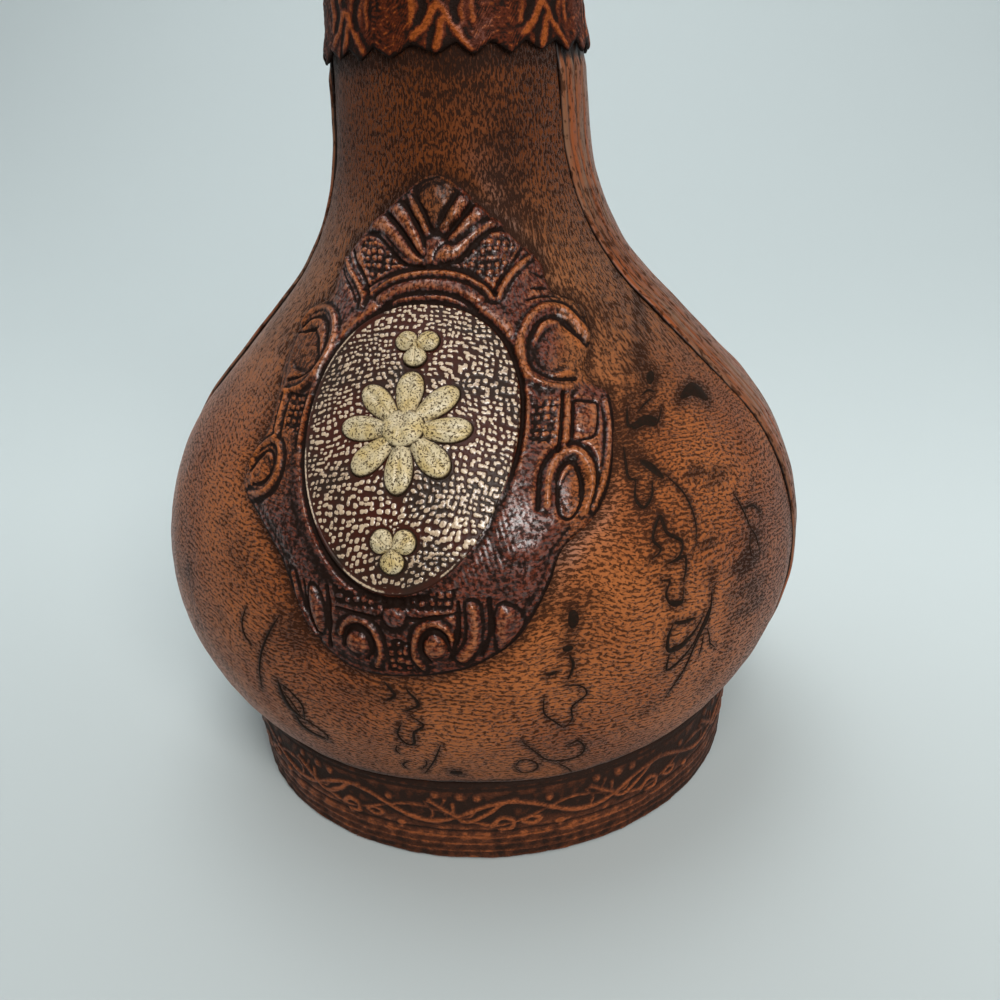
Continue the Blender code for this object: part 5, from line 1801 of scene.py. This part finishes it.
class DECANTER_OT_stopper(bpy.types.Operator):
    """The stopper: cork, pinked skirt, turned knob, its four leather gores and the button on top"""

    bl_idname = "decanter.stopper"
    bl_label = "Stopper"

    def execute(self, context):
        hues = context.scene.decanter_hues
        collar = bpy.data.materials["embossed collar leather"]
        coat = bpy.data.materials["antiqued coat leather"]
        cork_r, cork_low, cork_top = CORK_BOX[1].x, CORK_BOX[0].z, CORK_BOX[1].z
        taper, edge, bore_z = 1.2 * MM, 0.8 * MM, cork_top - 16.3 * MM
        cork = [
            (0, cork_low), (0.5 * cork_r, cork_low),
            *bend((cork_r - taper - edge, cork_low + edge), edge, -90, 0, 4),
            *bend((cork_r - 0.4 * edge, cork_top - 0.4 * edge), 0.4 * edge, 0, 90, 3),
            (DOWEL_BORE_R, cork_top), (DOWEL_BORE_R, bore_z), (0, bore_z),
        ]
        mesh = turned_mesh("cork_plug", dense(cork, 1 * MM), True, 0.06 * MM, 71)
        add_piece(mesh, cork_finish(hues), "stopper", "cork", "stopper_cork")
        add_piece(skirt_mesh(), collar, "stopper", "collar_leather", "stopper_skirt")
        add_piece(knob_mesh(), wood_finish(hues), "stopper", "wood", "stopper_knob")
        low = -radians(54)
        high = acos(BUTTON_BOX[1].x / KNOB_R)
        for gore in range(GORE_COUNT):
            middle = 0.5 * pi + gore * TURN / GORE_COUNT
            mesh = two_sided(
                "gore_leather_%d" % (gore + 1),
                lambda across, climb: gore_side(across, climb, middle),
                lambda across, climb: gore_back(across, climb, middle),
                (-1, 1, 16), (low, high, 18),
            )
            add_piece(mesh, coat, "stopper", "knob_leather", "stopper_gore_%d" % (gore + 1))
        add_piece(button_mesh(), collar, "stopper", "collar_leather", "stopper_button")
        return {"FINISHED"}


def dense(section, pitch):
    """The same section with extra points, at most a pitch apart."""
    points = [section[0]]
    for start, end in zip(section[:-1], section[1:]):
        count = max(1, ceil(dist(start, end) / pitch))
        for step in range(1, count + 1):
            share = step / count
            points.append((start[0] + (end[0] - start[0]) * share, start[1] + (end[1] - start[1]) * share))
    return points


def knob_mesh():
    """The turned wooden core: foot disc, short stem and ball, bored for its dowel."""
    foot_z, top_z = KNOB_BOX[0].z, KNOB_BOX[1].z
    foot_r, foot_h, neck_r, core_r = 14.5 * MM, 3 * MM, 10.5 * MM, 20.2 * MM
    neck_z = foot_z + foot_h + 2.5 * MM
    low = -degrees(acos(neck_r / core_r))
    high = degrees(asin(min(1, (top_z - KNOB_MIDDLE_Z) / core_r)))
    edge = 0.9 * MM
    section = [
        (DOWEL_BORE_R, foot_z), *bend((foot_r - edge, foot_z + edge), edge, -90, 0, 4),
        *bend((foot_r - edge, foot_z + foot_h - edge), edge, 0, 80, 4),
        (neck_r + 0.6 * MM, foot_z + foot_h + 0.6 * MM), (neck_r, neck_z),
        *bend((0, KNOB_MIDDLE_Z), core_r, low, high, 24), (DOWEL_BORE_R, top_z),
    ]
    return turned_mesh("knob_core", dense(section, 1.2 * MM))


def button_mesh():
    """The leather button on top: a low dome with a rolled rim and a pinched middle."""
    radius, low, high = BUTTON_BOX[1].x, BUTTON_BOX[0].z, BUTTON_BOX[1].z
    turn = np.linspace(-pi, pi, 97)[:, None]
    share = np.concatenate((np.linspace(0, 1, 10), np.linspace(0.97, 0, 18)))[None, :]
    top = np.concatenate((np.zeros(10), np.ones(18)))[None, :]
    dome = np.sqrt(held(1 - share ** 4)) - 0.35 * np.exp(-(share / 0.14) ** 2)
    petals = 0.06 * np.cos(8 * turn) * smooth(0.2, 0.6, share) * smooth(1, 0.8, share)
    height = low + (high - low) * top * (dome + petals)
    grid = ring(radius * share, turn, height)
    tone = held(0.5 + 2 * petals - 0.4 * np.exp(-(share / 0.2) ** 2)) * top
    return round_mesh("button_leather", grid, grid[..., :2].copy(), {"tone": tone}, True)


class DECANTER_OT_inside(bpy.types.Operator):
    """Finishes of the pieces that stay as the frame made them: sole, board, ring and dowel"""

    bl_idname = "decanter.inside"
    bl_label = "Inner pieces"

    def execute(self, context):
        hues = context.scene.decanter_hues
        wood = bpy.data.materials["turned wood"]
        low, high = tinted(hues.board, 0.7), hues.board
        board = flecked_finish("pressed board", 0.9, 1.2, 0.7, (0.35, 0.7), low, high, 0.08 * MM)
        low, high = tinted(hues.coat_dark, 0.6), tinted(hues.coat_dark, 1.5)
        sole = flecked_finish("sole leather", 0.75, 1.4, 0.65, (0.3, 0.7), low, high, 0.12 * MM)
        finishes = {"base_sole": sole, "base_board": board, "base_ring": wood, "stopper_dowel": wood}
        for node, material in finishes.items():
            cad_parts[node].material_slots[0].material = material
        return {"FINISHED"}


# Camera, fitted to the photograph's outlines of the foot, the belly and the neck
CAMERA_PLACE = Vector((49.1, -210.1, 152)) * MM
CAMERA_TURN = radians(12)
CAMERA_PITCH = radians(23.5)
CAMERA_ROLL = radians(-2.8)
CAMERA_LENS = 34.2
# Strength of the surroundings as the camera and reflections see them
SEEN_ROOM = 0.68


def floor_finish(hues):
    """Pale floor with painted shade, a little darker towards the camera."""
    f = Finish("pale floor", 0.9, 0.2)
    y = f.parts(f.place())[1]
    colour = y.ramp(-0.16, 0.14).tint(tinted(hues.floor, 0.73), hues.floor)
    f.feed(Base_Color=colour)
    return f.material


def add_lamp(name, place, target, size, energy, tint):
    """A soft round lamp that looks at a target."""
    lamp = bpy.data.lights.new(name, "AREA")
    lamp.shape = "DISK"
    lamp.size = size
    lamp.energy = energy
    lamp.color = tint
    holder = bpy.data.objects.new(name, lamp)
    bpy.context.scene.collection.objects.link(holder)
    holder.location = place
    holder.rotation_euler = (Vector(target) - Vector(place)).to_track_quat("-Z", "Y").to_euler()


class DECANTER_OT_stage(bpy.types.Operator):
    """Floor that curves up to a backdrop, soft lamps, pale surroundings and the camera"""

    bl_idname = "decanter.stage"
    bl_label = "Stage"

    def execute(self, context):
        scene = context.scene
        hues = scene.decanter_hues
        sizes = scene.decanter_sizes
        reach, back, curve, top = 2.2, 0.45, 1.3, 2.4
        angle = np.linspace(0, 0.5 * pi, 13)
        y = np.concatenate(([-reach, -0.6, 0, 0.3], back + curve * np.sin(angle), [back + curve]))
        z = np.concatenate((np.zeros(4), curve * (1 - np.cos(angle)), [top]))
        x = np.linspace(-reach, reach, 9)
        grid = np.stack(np.broadcast_arrays(x[:, None], y, z), -1)
        face = grid_faces(len(x), len(y))
        mesh = build("floor", grid.reshape(-1, 3), [face[..., 0] * len(y) + face[..., 1]])
        floor = bpy.data.objects.new("floor", mesh)
        mesh.materials.append(floor_finish(hues))
        scene.collection.objects.link(floor)
        world = bpy.data.worlds.new("pale room")
        world.use_nodes = True
        sky = NodeSheet(world.node_tree)
        _, depth, height = sky.parts(sky.add("TexCoord"))
        behind = depth.ramp(-0.85, -0.2)
        lit = (behind * height.ramp(-0.2, 0.3, 0.6)).tint(tinted(hues.room, 0.06), hues.room)
        pale = behind.tint(tinted(hues.room, 0.5), hues.room)
        rays = ("Is Camera Ray", "Is Glossy Ray", "Is Transmission Ray")
        seen = sum(sky.add("LightPath", out=ray) for ray in rays)
        background = sky.tree.nodes["Background"]
        strength = seen.mix(sizes.room_light, SEEN_ROOM)
        sky.tree.links.new(seen.tint(lit, pale).socket, background.inputs["Color"])
        sky.tree.links.new(strength.socket, background.inputs["Strength"])
        scene.world = world
        aim = (0, 0, 0.09)
        warm, cool = (1, 0.98, 0.95), (0.97, 0.99, 1)
        add_lamp("key", (0.46, -0.74, 0.59), aim, 0.42, sizes.key_light, warm)
        add_lamp("high", (0.19, -0.59, 0.88), aim, 0.34, sizes.high_light, warm)
        add_lamp("top", (-0.3, 0.2, 2.2), aim, 1.4, sizes.top_light, cool)
        add_lamp("backdrop", (-0.25, 0.8, 1.6), (-0.2, 1.7, 0.35), 1.2, sizes.backdrop_light, (0.96, 0.99, 1))
        camera = bpy.data.objects.new("camera", bpy.data.cameras.new("camera"))
        camera.data.lens = CAMERA_LENS
        camera.data.sensor_width = 36
        camera.data.clip_start = 0.01
        look = Vector((
            -sin(CAMERA_TURN) * cos(CAMERA_PITCH),
            cos(CAMERA_TURN) * cos(CAMERA_PITCH),
            -sin(CAMERA_PITCH),
        ))
        turned = look.to_track_quat("-Z", "Y") @ Quaternion((0, 0, 1), CAMERA_ROLL)
        camera.rotation_euler = turned.to_euler()
        camera.location = CAMERA_PLACE
        scene.collection.objects.link(camera)
        scene.camera = camera
        scene.view_settings.view_transform = "Standard"
        return {"FINISHED"}


def power(name, note, watts):
    """The power of a lamp."""
    return FloatProperty(name=name, description=note, default=watts, min=0, unit="POWER")


class DecanterSizes(bpy.types.PropertyGroup):
    """Sizes and light levels that a user would change"""

    flower_rise: FloatProperty(
        name="Flower height", description="Rise over the shield", default=1.4 * MM, unit="LENGTH"
    )
    vine_width: FloatProperty(
        name="Vine width", description="Share of the burnt lines' drawn width", default=1, subtype="FACTOR"
    )
    room_light: FloatProperty(
        name="Room light", description="Strength of the pale surroundings", default=0.4, min=0
    )
    key_light: power("Key light", "Lamp in front and to the right", 6)
    high_light: power("High light", "Lamp in front and above", 2.2)
    top_light: power("Top light", "Wide lamp above", 12)
    backdrop_light: power("Backdrop light", "Lamp on the backdrop", 7)


def hue(name, note, *value):
    """A colour of the finishes."""
    return FloatVectorProperty(name=name, description=note, subtype="COLOR", min=0, max=1, default=value)


class DecanterHues(bpy.types.PropertyGroup):
    """Colours of the finishes, as linear values"""

    coat_tan: hue("Coat tan", "Lightest leather of the belly", 0.358, 0.107, 0.027)
    coat_red: hue("Coat red-brown", "Deeper leather of the neck", 0.21, 0.05, 0.01)
    coat_brown: hue("Coat brown", "Browner leather of the shoulder", 0.19, 0.079, 0.033)
    # Coat dark also colours the painted shade on the coat beside the crest, under the collar and above the
    # foot band
    coat_dark: hue("Coat dark", "Grain and stains", 0.022, 0.008, 0.004)
    strip_brown: hue("Strip brown", "Browner leather of the strips", 0.185, 0.082, 0.04)
    ink: hue("Ink", "Burnt lines", 0.011, 0.006, 0.003)
    crest_low: hue("Crest hollows", "Dark leather in the relief", 0.012, 0.005, 0.003)
    crest_ground: hue("Crest ground", "Red-brown leather", 0.124, 0.022, 0.007)
    crest_high: hue("Crest high", "Rubbed leather", 0.36, 0.105, 0.026)
    shield_dark: hue("Shield ground", "Dark leather between pebbles", 0.022, 0.011, 0.006)
    speckle: hue("Speckle", "Dark specks in the cream paint", 0.055, 0.032, 0.016)
    pebble_top: hue("Pebble tops", "Rubbed cream tops", 0.52, 0.375, 0.24)
    pebble_dim: hue("Dim pebbles", "Tops that kept their brown", 0.19, 0.1, 0.055)
    pale_top: hue("Cream", "Paint of the flowers", 0.58, 0.48, 0.3)
    pale_warm: hue("Warm cream", "Yellower paint of the flowers", 0.54, 0.4, 0.17)
    band_low: hue("Band hollows", "Dark leather of the foot band", 0.026, 0.013, 0.009)
    band_ground: hue("Band ground", "Brown leather of the foot band", 0.085, 0.026, 0.012)
    band_high: hue("Band high", "Rust leather of the foot band", 0.3, 0.08, 0.024)
    collar_low: hue("Collar hollows", "Dark leather of the collar", 0.012, 0.005, 0.003)
    collar_ground: hue("Collar ground", "Red-brown leather of the collar", 0.085, 0.015, 0.004)
    collar_high: hue("Collar high", "Orange leather of the collar", 0.29, 0.064, 0.01)
    wood: hue("Wood", "Knob core", 0.21, 0.09, 0.034)
    cork: hue("Cork", "Plug", 0.52, 0.34, 0.18)
    board: hue("Board", "Board in the foot", 0.3, 0.22, 0.14)
    glass: hue("Glass", "Tint of the bottle glass", 0.8, 0.92, 0.84)
    floor: hue("Floor", "Floor and backdrop", 0.68, 0.75, 0.755)
    room: hue("Room", "Pale surroundings", 0.86, 0.92, 0.94)


STEPS = (
    "coat", "strips", "crest_frame", "shield", "flowers", "vines", "band", "collar", "glass", "stopper",
    "inside", "stage",
)


class DECANTER_PT_panel(bpy.types.Panel):
    """Lists the pieces with their sizes and colours"""

    bl_label = "Decanter"
    bl_idname = "DECANTER_PT_panel"
    bl_space_type = "VIEW_3D"
    bl_region_type = "UI"
    bl_category = "Decanter"

    def draw(self, context):
        layout = self.layout
        for group in (context.scene.decanter_sizes, context.scene.decanter_hues):
            for name in group.bl_rna.properties.keys():
                if name not in ("rna_type", "name"):
                    layout.prop(group, name)
        for step in STEPS:
            layout.operator("decanter." + step)


CLASSES = (
    DecanterSizes, DecanterHues, DECANTER_OT_coat, DECANTER_OT_strips, DECANTER_OT_crest_frame,
    DECANTER_OT_shield, DECANTER_OT_flowers, DECANTER_OT_vines, DECANTER_OT_band, DECANTER_OT_collar,
    DECANTER_OT_glass, DECANTER_OT_stopper, DECANTER_OT_inside, DECANTER_OT_stage, DECANTER_PT_panel,
)


def register():
    for item in CLASSES:
        bpy.utils.register_class(item)
    bpy.types.Scene.decanter_sizes = PointerProperty(type=DecanterSizes)
    bpy.types.Scene.decanter_hues = PointerProperty(type=DecanterHues)


def unregister():
    del bpy.types.Scene.decanter_hues
    del bpy.types.Scene.decanter_sizes
    for item in reversed(CLASSES):
        bpy.utils.unregister_class(item)


def main():
    """Make every piece and the stage round the frame."""
    register()
    for step in STEPS:
        getattr(bpy.ops.decanter, step)()


if __name__ == "__main__":
    main()
